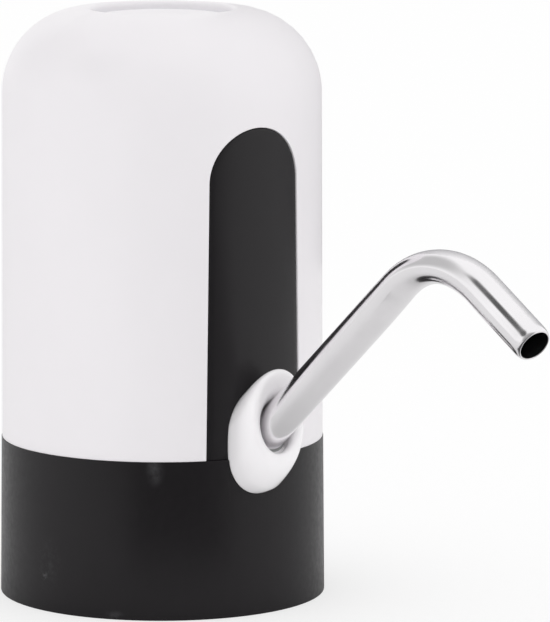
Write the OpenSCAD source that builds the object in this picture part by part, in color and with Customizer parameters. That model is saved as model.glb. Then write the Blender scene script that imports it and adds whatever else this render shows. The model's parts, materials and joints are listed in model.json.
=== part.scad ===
// Electric water jug pump for the neck of a large water bottle.
// The origin is the centre of the underside, +Z is up and +X points to the spout.
// Lengths are in millimetres.

/* [Body] */
// Radius of the base at its foot
base_r = 37.5; // [36.8:0.1:41]
// Radius that the base loses from its foot to its top
base_draft = 0.35; // [0:0.05:0.6]
// Height of the base
base_h = 36.2; // [35.4:0.1:39]
// Thickness of the base's outer skirt at its top
skirt_wall = 2.25; // [1.9:0.05:2.6]
// Thickness of the base's floor
base_web = 2.5; // [1.6:0.1:4]
// Chamfer round the foot
foot_chamfer = 0.4; // [0.2:0.1:1]
// Height of the whole pump body
overall_h = 135; // [134.5:0.5:150]
// How far the shell stands in from the base at their seam
shell_step = 0.15; // [0.05:0.05:0.5]
// Radius that the shell loses from its seam to its shoulder
shell_draft = 0.4; // [0:0.05:0.8]
// Thickness of the shell
shell_wall = 2.2; // [1.9:0.05:2.6]
// Radius of the shell's rounded shoulder
shoulder_r = 19.2; // [17.5:0.1:19.6]
// Height of the lap joint between base and shell
lap_h = 4.8; // [4:0.1:6]
// Thickness of the shell over the lap joint
lap_wall = 1.4; // [1.2:0.05:1.6]
// Thickness of the base's rim inside the lap joint
spigot_wall = 1.45; // [1:0.05:1.7]
// Radius of the snap bead on that rim
bead_r = 0.4; // [0.2:0.05:0.6]

/* [Bottle neck] */
// Radius of the socket that goes over the bottle's neck
neck_r = 28.5; // [27.5:0.1:29]
// Depth of that socket
neck_depth = 18; // [14:0.5:20]
// Thickness of the socket's sleeve
sleeve_wall = 2.4; // [1.5:0.1:2.6]
// Radius of the chamber above the bottle's rim
chamber_r = 25; // [22:0.5:25.5]
// Height of that chamber, with the gasket's seat
chamber_h = 10; // [9:0.5:10.5]
// Thickness of the neck gasket
gasket_t = 2.5; // [1.5:0.1:3.5]
// Width of the neck gasket
gasket_w = 2.9; // [2:0.1:3]
// Outer radius of the nipple for the bottle's hose
nipple_r = 4; // [3.2:0.1:5]
// Bore radius of that nipple
nipple_bore = 2.6; // [1.8:0.1:2.8]
// Length of that nipple below the deck
nipple_len = 9.2; // [6:0.1:9.5]

/* [Front panel] */
// Width of the slot for the front panel at its arch
panel_w = 24.6; // [22:0.2:28]
// How much wider that slot is at its foot, on each side
panel_flare = 0.9; // [0:0.1:1.2]
// Height of the top of that slot's arch above the table
panel_top = 110.8; // [90:0.2:112]
// How far the panel lies below the shell's surface
panel_sink = 0.2; // [0:0.05:0.6]
// Width of the panel's flange behind the shell
panel_lip = 3; // [1.5:0.1:4]
// Thickness of that flange
panel_lip_t = 2; // [1:0.1:2.2]

/* [Spout] */
// Outer radius of the spout tube
spout_r = 4.2; // [3:0.1:4.2]
// Wall of the spout tube
spout_wall = 0.6; // [0.4:0.05:1]
// Rise of the spout's lower leg above the horizontal, in degrees
spout_rise = 39.8; // [38:0.2:42]
// Fall of the spout's outlet leg below the horizontal, in degrees
spout_fall = 30.3; // [10:0.1:60]
// Height at which the spout's axis meets the shell's surface
spout_z = 39.6; // [39:0.1:41]
// Distance from the pump's axis to the corner where the two legs' axes meet
spout_reach = 100.1; // [85:0.1:130]
// Bend radius of the tube's centre line
spout_bend_r = 25; // [16:0.5:35]
// Length from that corner to the outlet
spout_drop = 36.8; // [34:0.1:60]

/* [Outlet boss] */
// Half width of the boss
boss_r = 8.1; // [7.8:0.1:9]
// How much taller than wide the boss is, on each side
boss_stretch = 1; // [0.3:0.1:1.2]
// How far the boss stands off the spout's axis, upwards
boss_lift = 0.1; // [0:0.1:1]
// How far the boss's face stands out from the shell
boss_reach = 6.5; // [5:0.1:9]
// Radius of the hole in the boss's face
boss_hole_r = 4.7; // [4.4:0.1:5]
// Radius of the pocket for the spout's seal
seal_r = 6; // [5.5:0.1:6.2]
// Length of that pocket
seal_len = 8; // [6:0.2:8.4]

/* [Button] */
// Radius of the well in the shell's top
well_r = 16.3; // [15.8:0.1:17]
// Wall of the collar round the well
well_wall = 1.8; // [1.2:0.1:2.4]
// Depth of the collar below the rim
well_depth = 9; // [8:0.1:9.6]
// Rounding of the well's rim
rim_round = 1.2; // [0.4:0.1:1.6]
// Radius of the button
button_r = 14.5; // [13:0.1:14.8]
// Depth of the button's face below the rim
button_sink = 1.6; // [1.5:0.1:3.5]
// Depth of the dish in the button's face
button_dish = 0.7; // [0.2:0.1:1.2]
// Travel of the button
button_travel = 0.8; // [0.4:0.1:1]

/* [Pump] */
// Teeth on each pump gear
gear_teeth = 12; // [12:1:13]
// Module of the pump gears
gear_module = 1; // [0.9:0.02:1.06]
// Thickness of the pump gears
gear_t = 6.8; // [5:0.1:8]
// Wall of the pump outside the gear chamber
pump_wall = 4.9; // [4.6:0.1:5.2]
// Thickness of the pump's cover
cover_t = 6; // [4.5:0.1:7]
// Thickness of the plate between pump and motor
pump_top_t = 3; // [2.8:0.1:4]
// Distance from the gears' mesh to each port
port_gap = 5; // [4.8:0.1:5.4]
// Outer radius of the small nipples
barb_r = 2.6; // [2.2:0.1:2.8]
// Bore radius of the small nipples
barb_bore = 1.7; // [1:0.1:1.8]
// Wall of the small hoses
hose_wall = 1; // [0.6:0.1:1.1]

/* [Motor] */
// Radius of the motor's can
motor_r = 12.2; // [11.8:0.1:12.4]
// Length of the motor's can
motor_len = 31; // [29:0.5:40]
// Radius of the motor's shaft
shaft_r = 1.15; // [0.9:0.05:1.2]

/* [Battery] */
// Radius of the cell
cell_r = 9.2; // [8.4:0.1:9.5]
// Length of the cell
cell_len = 65; // [50:0.5:65.5]

/* [Boards] */
// Thickness of the circuit boards
board_t = 1.6; // [1:0.1:1.8]
// Height of the charging board's upper face above the table
charge_board_top = 41.6; // [41:0.1:43]
// Width of the charging board
charge_board_w = 18; // [16:0.5:22]
// Radius of the switch board
switch_board_r = 19.5; // [18.8:0.1:22]
// Depth of the switch board's upper face below the rim
switch_depth = 14.4; // [14.2:0.1:15]

/* [Hidden] */
$fn = 96;

// Clearances
fit_gap = 0.15;      // between pieces that fit into each other
seat_gap = 0.05;     // round a pressed or screwed piece
run_gap = 0.03;      // round a turning shaft
slack = 0.3;         // between pieces that only pass each other
over = 1;            // how far a cut runs past a face

// Body
base_top_r = base_r - base_draft;
skirt_in = base_top_r - skirt_wall;
shell_r = base_top_r - shell_step;
shell_top_r = shell_r - shell_draft;
shoulder_z = overall_h - shoulder_r;
arch_z = panel_top - panel_w / 2;
lap_r = shell_r - lap_wall;
spigot_r = lap_r - fit_gap;
spigot_in = spigot_r - spigot_wall;
lap_top = base_h + lap_h;
bead_z = base_h + lap_h / 2;
lap_root = 2;

// Bottle neck
sleeve_r = neck_r + sleeve_wall;
gasket_r = chamber_r + gasket_w - seat_gap;
deck_z = neck_depth + chamber_h;
deck_t = 3;
deck_top = deck_z + deck_t;
deck_r = spigot_in - slack;
nipple_shoulder = 1;
nipple_flange_w = 2.5;
nipple_seat_r = nipple_r + nipple_shoulder;
nipple_flange_r = nipple_seat_r + nipple_flange_w;
nipple_flange_t = 1.5;
nipple_chamfer = 0.5;
barb_len = 5.5;
cover_barb_more = 1.5;

// Columns and screws
post_r = 3.3;
column_r = 2.6;
column_ring = neck_r + post_r + seat_gap;
column_angles = [60, 130, -130, -60];
screw_r = 1.25;
screw_head_r = 2.1;
screw_head_t = 1.6;
small_screw_r = 0.9;
small_head_r = 1.7;
small_head_t = 1.1;
base_screw_len = 20;
base_screw_grip = 8;
base_screw_z = deck_z - base_screw_grip;
top_screw_len = 10;
recess_long = 1.2;   // cross recess of a screw head, as shares of the head's radius and height
recess_wide = 0.24;
recess_deep = 0.5;

// Charging board and socket, which set the height of the shelf
usb_w = 7.6;
usb_h = 2.7;
usb_len = 5.6;
usb_wall = 0.3;
usb_sink = 1.1;
usb_corner = 0.8;
usb_x = -(shell_r - usb_sink);
charge_board_z = charge_board_top - board_t;
charge_board_gap = 1.5;
charge_board_len = 19.5;
charge_board_out = -(spigot_in - charge_board_gap);
charge_board_in = charge_board_out + charge_board_len;
charge_post_r = 2.2;
charge_post_inset = 3;
charge_post_side = 2.6;
charge_post_x = charge_board_in - charge_post_inset;
charge_post_y = charge_board_w / 2 - charge_post_side;
charge_screw_len = 6;

// Chassis
shelf_room = 0.8;
shelf_t = 2;
shelf_z = charge_board_top + usb_h + shelf_room;
shelf_top = shelf_z + shelf_t;
shelf_r = deck_r - slack;
cradle_wall = 1.5;
cradle_h = 45;
cradle_angle = 200;
notch_x = 23;

// Pump
gear_c = gear_module * gear_teeth;
gear_tip_r = gear_module * (gear_teeth / 2 + 1);
gear_end_gap = 0.1;
gear_tip_gap = 0.1;
gear_thin = 0.1;
pressure_angle = 25;
gear_room_r = gear_tip_r + gear_tip_gap;
pump_r = gear_room_r + pump_wall;
pump_x = port_gap;
motor_y = -gear_c / 2;
idler_y = gear_c / 2;
outlet_x = pump_x + port_gap;
pump_gasket_t = 0.5;
cover_top = shelf_top + cover_t;
housing_z = cover_top + pump_gasket_t;
housing_h = gear_t + 2 * gear_end_gap;
pump_top_z = housing_z + housing_h;
motor_z = pump_top_z + pump_top_t;
port_pocket_r = 2.4;
pump_screw_out = 2.2;
pump_screw_step = (gear_room_r + pump_screw_out) * cos(45);
pin_r = 1.5;
pin_bite = 2;
shaft_bite = 2.7;
seal_ring_r = 2.9;
seal_ring_t = 1.4;
hub_r = 3.2;
hub_h = 1.2;
hose_r = barb_r + run_gap;

// Motor
can_wall = 1;
bell_t = 2.5;
bell_plug = 2;
motor_top = motor_z + motor_len;
bell_top = motor_top + bell_t;
motor_screw_ring = gear_room_r + small_head_r + 2 * slack;
motor_screw_len = 5.2;
motor_head_sink = small_head_t;
bush_r = 2.45;
bush_len = 3;
magnet_t = 1.5;
magnet_inset = 4.5;
magnet_in = motor_r - can_wall - magnet_t;
magnet_out = motor_r - can_wall - seat_gap;
magnet_z = motor_z + magnet_inset;
magnet_len = motor_len - 2 * magnet_inset;
magnet_angle = 130;
air_gap = 0.4;
core_inset = 7;
core_r = magnet_in - air_gap;
core_z = motor_z + core_inset;
pole_w = 4;
shoe_t = 1.4;
shoe_angle = 96;
coil_t = 2.3;
coil_in = 3.5;
comm_r = 2.8;
comm_len = 4.5;
comm_gap = 0.6;
comm_room = 0.4;
comm_z = motor_top - bell_plug - comm_room - comm_len;
core_len = comm_z - comm_gap - coil_t - core_z;
brush_t = 0.5;
brush_w = 3;
brush_rise = 0.8;
terminal_ring = 7;

// Battery
tab_t = 0.3;
cell_gap = 0.3;
cell_z = shelf_top + tab_t;
cell_top = cell_z + cell_len;
cradle_in = cell_r + cell_gap;
cradle_r = cradle_in + cradle_wall;
cell_y = 3;
cradle_gap = 1.2;
cell_space = pump_r + cradle_r + cradle_gap;
cell_x = pump_x - sqrt(pow(cell_space, 2) - pow(idler_y - cell_y, 2));

// Top
rim_z = overall_h;
well_end = rim_z - well_depth;
button_top = rim_z - button_sink;
button_wall = 1.6;
button_cap_t = 2;
ring_gap = 0.25;
ring_in = button_r + ring_gap;
ring_out = well_r - seat_gap;
ring_sink = 0.6;
ring_top = button_top - ring_sink;
ring_flange_t = 1.5;
ring_flange_inset = 0.4;
ring_flange_r = well_r + well_wall - ring_flange_inset;
ring_end = well_end - ring_flange_t;
button_flange_w = 1.1;
button_flange_r = button_r + button_flange_w;
button_flange_t = 1.9;
button_stop_gap = 0.2;
button_flange_top = ring_end - button_stop_gap;
switch_board_top = rim_z - switch_depth;
switch_board_z = switch_board_top - board_t;
switch_w = 6;
switch_h = 3.5;
plunger_r = 1.7;
plunger_h = 1.2;
plunger_top = switch_board_top + switch_h + plunger_h;
stem_r = 2.5;
standoff_h = 3;
standoff_r = 2.4;
standoff_ring = button_r - button_wall - small_head_r - 2 * slack;
standoff_angles = [30, 150, 270];
top_plate_t = 2;
top_plate_top = switch_board_z - standoff_h;
top_plate_z = top_plate_top - top_plate_t;
top_plate_gap = 1;
top_plate_r = shell_top_r - shell_wall - top_plate_gap;
led_w = 2;
led_ring = button_flange_r + led_w / 2 + slack;
led_h = 0.8;
led_angles = [90, 210, 330];

// Outlet boss and spout
boss_face_x = shell_r + boss_reach;
boss_in = 7.5;
boss_floor_gap = 0.2;
boss_depth = 9.7;
boss_floor = deck_top + boss_floor_gap;
boss_inner_x = shell_r - boss_depth;
boss_out_len = 30;
ear_back = 4.2;
ear_drop = 1.6;
ear_root = 2;
ear_inset = 2;
ear_x = panel_back(spout_z) - ear_back;
ear_t = 1.6;
ear_half = panel_w / 2 - 2 * slack;
ear_low = base_h - ear_drop;
ear_high = shelf_z - 2 * slack;
boss_screw_y = ear_half - ear_inset;
boss_screw_z = (ear_low + ear_high) / 2;
boss_screw_len = 4.6;
seal_top_s = 3;
seal_end_s = seal_top_s - seal_len;
seal_lip_t = 0.8;
seal_lip_w = 1;
seal_lip_r = spout_r - seal_lip_w;
boss_barb_drop = 3.6;
boss_barb_len = 4.6;
boss_barb_root = 4;
barb_z = spout_z - boss_barb_drop;
barb_end_x = boss_inner_x - boss_barb_len;
tube_end_s = seal_end_s + 2 * seat_gap + seal_lip_t + seat_gap;
spout_turn = spout_rise + spout_fall;
spout_tangent = spout_bend_r * tan(spout_turn / 2);
spout_corner_s = (spout_reach - shell_r) / cos(spout_rise);
spout_leg_s = spout_corner_s - spout_tangent;
spout_bore_r = spout_r - spout_wall;
bend_thin = 0.05;
bend_overlap = 0.2;
bend_x = shell_r + spout_leg_s * cos(spout_rise) + spout_bend_r * sin(spout_rise);
bend_z = spout_z + spout_leg_s * sin(spout_rise) - spout_bend_r * cos(spout_rise);

// Hoses
outlet_bend_r = 7;
outlet_turn_x = outlet_x + outlet_bend_r;
outlet_turn_z = barb_z + outlet_bend_r;
hose_end_gap = 0.3;

// Leads, with the points of their routes
lead_r = 0.7;
wire_hole_x = -9;
wire_hole_y = 22;
wire_hole_r = 3.2;
battery_red_route = [
  [-8.2, 3, 112.3], [-8.2, 3, 110], [-7.6, 6, 105], [-7.8, 12, 99], [-8.8, 17.6, 92], [-9.6, 20.4, 82],
  [-9.6, 20.6, 66], [-9.6, 20.6, 50], [-9.6, 20.6, 46.2], [-11, 18, 43.4], [-14, 13.6, 43.4],
  [-17.4, 10.2, 43.5], [-18.8, 8, 42.8], [-18.8, 8, 41.65]
];
battery_black_route = [
  [-30.6, 3, 47.5], [-30.6, 3, 49.2], [-30.8, 7, 50.8], [-28.6, 13, 51], [-24, 18.4, 51],
  [-16, 22.2, 50.4], [-11.8, 23.2, 48.6], [-10.9, 23.2, 45.8], [-12, 21.6, 43.5], [-15.5, 17, 43.4],
  [-20, 11.5, 43.5], [-21.2, 8, 42.8], [-21.2, 8, 41.65]
];
motor_red_route = [
  [-2, -6, 100.8], [-2, -6, 102.4], [-4, -10, 104.6], [-7.4, -16, 102.4], [-9.4, -20.6, 96],
  [-9.8, -21.2, 86], [-9.8, -21.2, 66], [-9.8, -21.2, 50], [-9.9, -21, 45.8], [-12.6, -19, 43.5],
  [-17, -13.6, 43.4], [-20.2, -9.6, 43.5], [-20.6, -7.6, 42.8], [-20.6, -7.6, 41.65]
];
motor_black_route = [
  [12, -6, 100.8], [12, -6, 102.4], [9.6, -9.6, 105], [3, -17, 105.4], [-4.4, -22, 101],
  [-7.6, -23.2, 94], [-8, -23.2, 84], [-8, -23.2, 66], [-8, -23.2, 50], [-8, -22.8, 45.8],
  [-8.8, -19.8, 43.4], [-12, -14.4, 43.3], [-16.8, -9.9, 43.4], [-18.4, -7.8, 42.8], [-18.4, -7.8, 41.65]
];
switch_route = [
  [-14.2, 1.5, 41.65], [-14.2, 1.5, 42.8], [-12.4, 5, 43.5], [-8.6, 12.4, 43.4], [-7.2, 18.6, 43.6],
  [-7.2, 21, 46.2], [-7.2, 21.4, 52], [-7.2, 21.4, 68], [-7.2, 21.4, 84], [-7.2, 21.4, 100],
  [-7.2, 21.4, 110], [-7.4, 21.2, 115], [-7.8, 18, 117.3], [-8, 14.6, 117.6], [-8, 14, 118.2],
  [-8, 14, 118.95]
];

// Radius of the shell's outer face at a height below the shoulder.
function shell_face(z) = shell_r - shell_draft * (z - base_h) / (shoulder_z - base_h);

// Radius of the front panel's back at a height below the shoulder.
function panel_back(z) = shell_face(z) - shell_wall - fit_gap - panel_lip_t;

// A round tube standing on the plane z.
module pipe(r_out, r_in, z, h) {
  translate([0, 0, z]) difference() {
    cylinder(r = r_out, h = h);
    translate([0, 0, -over]) cylinder(r = r_in, h = h + 2 * over);
  }
}

// A round bar between two heights.
module bar(r, z0, z1) {
  translate([0, 0, z0]) cylinder(r = r, h = z1 - z0);
}

// Flat outline with round ends, centred, along x.
module slot_outline(r, half) {
  for (side = [-1, 1]) translate([side * half, 0]) circle(r);
  square([2 * half, 2 * r], center = true);
}

// Flat outline of a window with round corners, centred.
module window_outline(w, h, r) {
  square([w - 2 * r, h], center = true);
  square([w, h - 2 * r], center = true);
  for (x = [-1, 1], y = [-1, 1]) translate([x * (w / 2 - r), y * (h / 2 - r)]) circle(r);
}

// A pan-head screw: its seat is at the origin and its shank runs along +z.
module screw(r, len, head_r, head_t) {
  difference() {
    union() {
      cylinder(r = r, h = len);
      translate([0, 0, -head_t]) cylinder(r = head_r, h = head_t);
    }
    for (turn = [0, 90])
      rotate([0, 0, turn])
        translate([-head_r * recess_long / 2, -head_r * recess_wide / 2, -head_t - over])
          cube([head_r * recess_long, head_r * recess_wide, over + head_t * recess_deep]);
  }
}

// Places its children at each chassis column.
module at_columns() {
  for (angle = column_angles) rotate([0, 0, angle]) translate([column_ring, 0, 0]) children();
}

// Places its children along the spout's lower leg, with +z along its axis.
module along_spout() {
  translate([shell_r, 0, spout_z]) rotate([0, 90 - spout_rise, 0]) children();
}

// The boss's outside, grown by a gap, from its inner end to past its face.
module boss_body(gap) {
  along_spout()
    translate([-boss_lift, 0, -boss_in])
      linear_extrude(boss_in + boss_out_len)
        slot_outline(boss_r + gap, boss_stretch);
}

// Arched outline of the front panel: y across and z up, from a given height to the arch's top.
module arch_outline(half, low, top) {
  foot = half + panel_flare * (top - half - low) / (arch_z - base_h);
  polygon([[-foot, low], [foot, low], [half, top - half], [-half, top - half]]);
  translate([0, top - half]) circle(half);
}

// The arch pushed out along +X from the middle of the pump.
module arch_block(half, low, top) {
  rotate([90, 0, 90]) linear_extrude(base_r + over) arch_outline(half, low, top);
}

// Places its children at the four pump screws.
module at_pump_screws() {
  for (side = [-1, 1], end = [-1, 1])
    translate([pump_x + side * pump_screw_step, end * (gear_c / 2 + pump_screw_step), 0]) children();
}

// Places its children at the two motor screws.
module at_motor_screws() {
  for (side = [-1, 1]) translate([pump_x + side * motor_screw_ring, motor_y, 0]) children();
}

// Places its children at the two charging board posts.
module at_charge_posts() {
  for (side = [-1, 1]) translate([charge_post_x, side * charge_post_y, 0]) children();
}

// Places its children at the standoffs of the switch board.
module at_standoffs() {
  for (angle = standoff_angles) rotate([0, 0, angle]) translate([standoff_ring, 0, 0]) children();
}

// Plan outline of the pump.
module pump_outline() {
  translate([pump_x, 0]) rotate(90) slot_outline(pump_r, gear_c / 2);
}

// Plan outline of the two gear rooms and the port pockets.
module gear_rooms() {
  for (y = [motor_y, idler_y]) translate([pump_x, y]) circle(gear_room_r);
  for (x = [pump_x - port_gap, outlet_x]) translate([x, 0]) circle(port_pocket_r);
}

// Angle of an involute at a given pressure angle, in degrees.
function involute(angle) = tan(angle) * 180 / PI - angle;

// Gear outline with involute flanks.
module gear_outline() {
  pitch_r = gear_c / 2;
  base_circle = pitch_r * cos(pressure_angle);
  dedendum = 1.25;
  root_r = pitch_r - dedendum * gear_module;
  half = 90 / gear_teeth - gear_thin / pitch_r * 90 / PI;
  steps = 5;
  flank = [for (i = [0 : steps]) base_circle + (gear_tip_r - base_circle) * i / steps];
  lean = [for (r = flank) half + involute(pressure_angle) - involute(acos(base_circle / r))];
  side = concat([[root_r, lean[0]]], [for (i = [0 : steps]) [flank[i], lean[i]]]);
  count = len(side);
  polygon([
    for (tooth = [0 : gear_teeth - 1])
      for (i = [0 : 2 * count - 1])
        let (
          point = i < count ? side[i] : side[2 * count - 1 - i],
          angle = tooth * 360 / gear_teeth + (i < count ? -point[1] : point[1])
        )
        point[0] * [cos(angle), sin(angle)]
  ]);
}

// Way in for the charging plug, through the shell and any of the base's rim that reaches as high.
module usb_window() {
  translate([usb_x - 2 * usb_sink, 0, charge_board_top + usb_h / 2])
    rotate([90, 0, 90])
      linear_extrude(usb_len)
        window_outline(usb_w + 2 * slack, usb_h + 2 * slack, usb_corner);
}

// Black base: skirt, floor, socket sleeve, screw posts and the rim that carries the shell.
module base_ring() {
  color("#2b2b2d") difference() {
    union() {
      rotate_extrude() {
        polygon([
          [neck_r, 0], [base_r - foot_chamfer, 0], [base_r, foot_chamfer], [base_top_r, base_h],
          [spigot_r, base_h], [spigot_r, lap_top], [spigot_in, lap_top],
          [spigot_in, base_h - lap_root], [skirt_in, base_h - lap_root - skirt_in + spigot_in],
          [skirt_in, base_web], [sleeve_r, base_web], [sleeve_r, deck_z], [chamber_r, deck_z],
          [chamber_r, neck_depth + gasket_t], [chamber_r + gasket_w, neck_depth + gasket_t],
          [chamber_r + gasket_w, neck_depth], [neck_r, neck_depth]
        ]);
        translate([spigot_r, bead_z]) circle(bead_r);
      }
      at_columns() bar(post_r, base_web / 2, deck_z - seat_gap);
    }
    at_columns() {
      bar(screw_r + fit_gap, -over, deck_z + over);
      bar(screw_head_r + fit_gap, -over, base_screw_z);
    }
    boss_body(fit_gap);
    intersection() {
      arch_block(panel_w / 2 + fit_gap, base_h - lap_h, panel_top);
      union() {
        bar(skirt_in + seat_gap, 0, base_h);
        bar(base_r, base_h - seat_gap, lap_top + over);
      }
    }
    usb_window();
  }
}

// Soft ring that seals on the bottle's rim.
module neck_gasket() {
  color("#d8d8d4") pipe(gasket_r, chamber_r, neck_depth, gasket_t - seat_gap);
}

// Round deck over the chamber, with the posts of the charging board.
module deck_plate() {
  color("#e4e4e0") difference() {
    union() {
      bar(deck_r, deck_z, deck_top);
      at_charge_posts() bar(charge_post_r, deck_z, charge_board_z);
    }
    bar(nipple_seat_r + seat_gap, deck_z - over, deck_top + over);
    at_columns() bar(screw_r + fit_gap, deck_z - over, deck_top + over);
    at_charge_posts() bar(small_screw_r + seat_gap, charge_board_z - charge_screw_len, charge_board_z + over);
  }
}

// Nipple for the bottle's hose, pushed down through the deck.
module hose_nipple() {
  low = deck_z - nipple_len;
  color("#eeeeea") difference() {
    rotate_extrude() polygon([
      [0, low], [nipple_r - nipple_chamfer, low], [nipple_r, low + nipple_chamfer], [nipple_r, deck_z],
      [nipple_seat_r, deck_z], [nipple_seat_r, deck_top], [nipple_flange_r, deck_top],
      [nipple_flange_r, deck_top + nipple_flange_t], [barb_r, deck_top + nipple_flange_t],
      [barb_r, deck_top + nipple_flange_t + barb_len], [0, deck_top + nipple_flange_t + barb_len]
    ]);
    bar(nipple_bore, low - over, deck_z);
    bar(barb_bore, low - over, rim_z);
  }
}

// Half section of the shell's outside.
module shell_section(wall) {
  polygon([
    [0, base_h], [shell_r - wall, base_h], [shell_top_r - wall, shoulder_z], [0, shoulder_z]
  ]);
  translate([shell_top_r - shoulder_r, shoulder_z]) circle(shoulder_r - wall);
  translate([0, shoulder_z - over]) square([shell_top_r - shoulder_r, shoulder_r - wall + over]);
}

// White domed shell with the button well, the panel slot and the charging socket's hole.
module shell() {
  color("#ececec") difference() {
    rotate_extrude() difference() {
      union() {
        difference() {
          shell_section(0);
          shell_section(shell_wall);
        }
        translate([well_r, well_end]) square([well_wall, rim_z - well_end - rim_round]);
      }
      square([well_r, rim_z + over]);
      translate([-shell_r, base_h - over]) square([shell_r, rim_z]);
      translate([0, base_h - over]) square([lap_r, lap_h + fit_gap + over]);
      translate([spigot_r, bead_z]) circle(bead_r + fit_gap);
      translate([well_r, rim_z - rim_round]) difference() {
        translate([-over, 0]) square(rim_round + over);
        translate([rim_round, 0]) circle(rim_round);
      }
    }
    arch_block(panel_w / 2, 0, panel_top);
    usb_window();
  }
}

// Black arched panel: its face fills the slot and its flange lies behind the shell.
module front_panel() {
  half = panel_w / 2;
  flange_low = lap_top + slack;
  color("#2b2b2d") difference() {
    union() {
      intersection() {
        rotate_extrude() polygon([
          [panel_back(base_h), base_h], [shell_r - panel_sink, base_h],
          [shell_top_r - panel_sink, shoulder_z], [panel_back(shoulder_z), shoulder_z]
        ]);
        arch_block(half - fit_gap, base_h, panel_top - fit_gap);
      }
      intersection() {
        rotate_extrude() polygon([
          [panel_back(base_h), base_h], [panel_back(base_h) + panel_lip_t, base_h],
          [panel_back(shoulder_z) + panel_lip_t, shoulder_z], [panel_back(shoulder_z), shoulder_z]
        ]);
        arch_block(half + panel_lip, flange_low, panel_top + panel_lip);
      }
    }
    boss_body(fit_gap);
    boss_screw_holes();
  }
}

// Pilot holes for the two boss screws, from behind the panel.
module boss_screw_holes() {
  for (side = [-1, 1])
    translate([ear_x, side * boss_screw_y, boss_screw_z])
      rotate([0, 90, 0])
        cylinder(r = small_screw_r + seat_gap, h = ear_t + boss_screw_len);
}

// White outlet boss with the seal's pocket, the inner nipple and two ears behind the panel.
module spout_boss() {
  color("#f2f2f2") difference() {
    union() {
      difference() {
        boss_body(0);
        translate([boss_face_x, -base_r, 0]) cube([2 * base_r, 2 * base_r, rim_z]);
        translate([-over, -base_r, 0]) cube([over + boss_inner_x, 2 * base_r, rim_z]);
        translate([0, -base_r, 0]) cube([deck_r + slack, 2 * base_r, boss_floor]);
      }
      translate([barb_end_x, 0, barb_z])
        rotate([0, 90, 0])
          cylinder(r = barb_r, h = boss_barb_len + boss_barb_root);
      for (side = [-1, 1])
        translate([ear_x, side > 0 ? boss_r - ear_root : -ear_half, ear_low])
          cube([ear_t, ear_half - boss_r + ear_root, ear_high - ear_low]);
    }
    along_spout() {
      bar(boss_hole_r, seal_top_s - seat_gap, boss_out_len);
      bar(seal_r, seal_end_s, seal_top_s);
    }
    translate([barb_end_x - over, 0, barb_z])
      rotate([0, 90, 0])
        cylinder(r = barb_bore, h = shell_r + seal_end_s * cos(spout_rise) - barb_end_x + 2 * over);
    boss_screw_holes();
  }
}

// Silicone sleeve that grips the spout and turns with it in the boss.
module spout_seal() {
  color("#c9ccd0") along_spout() difference() {
    bar(seal_r - 2 * run_gap, seal_end_s + 2 * seat_gap, seal_top_s - 2 * seat_gap);
    bar(seal_lip_r, seal_end_s - over, seal_top_s + over);
    bar(spout_r + run_gap, seal_end_s + 2 * seat_gap + seal_lip_t, seal_top_s + over);
  }
}

// The spout's run as a solid: outlet leg, bend and lower leg, each leg running past its end.
module spout_run(leg_r, bend_r, past) {
  translate([bend_x, 0, bend_z])
    rotate([90, 0, 0])
      rotate([0, 0, 90 - spout_fall]) {
        translate([spout_bend_r, bend_overlap, 0])
          rotate([90, 0, 0])
            cylinder(r = leg_r, h = bend_overlap + spout_drop - spout_tangent + past);
        rotate_extrude(angle = spout_turn) translate([spout_bend_r, 0]) circle(bend_r);
        rotate([0, 0, spout_turn])
          translate([spout_bend_r, -bend_overlap, 0])
            rotate([-90, 0, 0])
              cylinder(r = leg_r, h = bend_overlap + spout_leg_s - tube_end_s + past);
      }
}

// Bent stainless tube, a trace thinner where it is bent.
module spout_tube() {
  color("silver") difference() {
    spout_run(spout_r, spout_r - bend_thin, 0);
    spout_run(spout_bore_r, spout_bore_r + bend_thin, over);
  }
}

// Dished push button with a skirt, a flange that stops it below the light ring, and a stem.
module button_cap() {
  flange_z = button_flange_top - button_flange_t;
  dish_rim = 2;
  dish_edge = button_r - dish_rim;
  dish_r = (pow(dish_edge, 2) + pow(button_dish, 2)) / (2 * button_dish);
  edge = 0.6;
  color("#e6e6e6") difference() {
    rotate_extrude() polygon([
      [0, plunger_top + seat_gap], [stem_r, plunger_top + seat_gap], [stem_r, button_top - button_cap_t],
      [button_r - button_wall, button_top - button_cap_t], [button_r - button_wall, flange_z],
      [button_flange_r, flange_z], [button_flange_r, button_flange_top], [button_r, button_flange_top],
      [button_r, button_top - edge], [button_r - edge, button_top], [0, button_top]
    ]);
    translate([0, 0, button_top - button_dish + dish_r]) sphere(dish_r, $fn = 192);
  }
}

// Translucent ring round the button, which the indicator lights shine into.
module light_ring() {
  color("#dfeaf2") rotate_extrude() polygon([
    [ring_in, ring_end], [ring_flange_r, ring_end], [ring_flange_r, well_end], [ring_out, well_end],
    [ring_out, ring_top], [ring_in, ring_top]
  ]);
}

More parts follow.
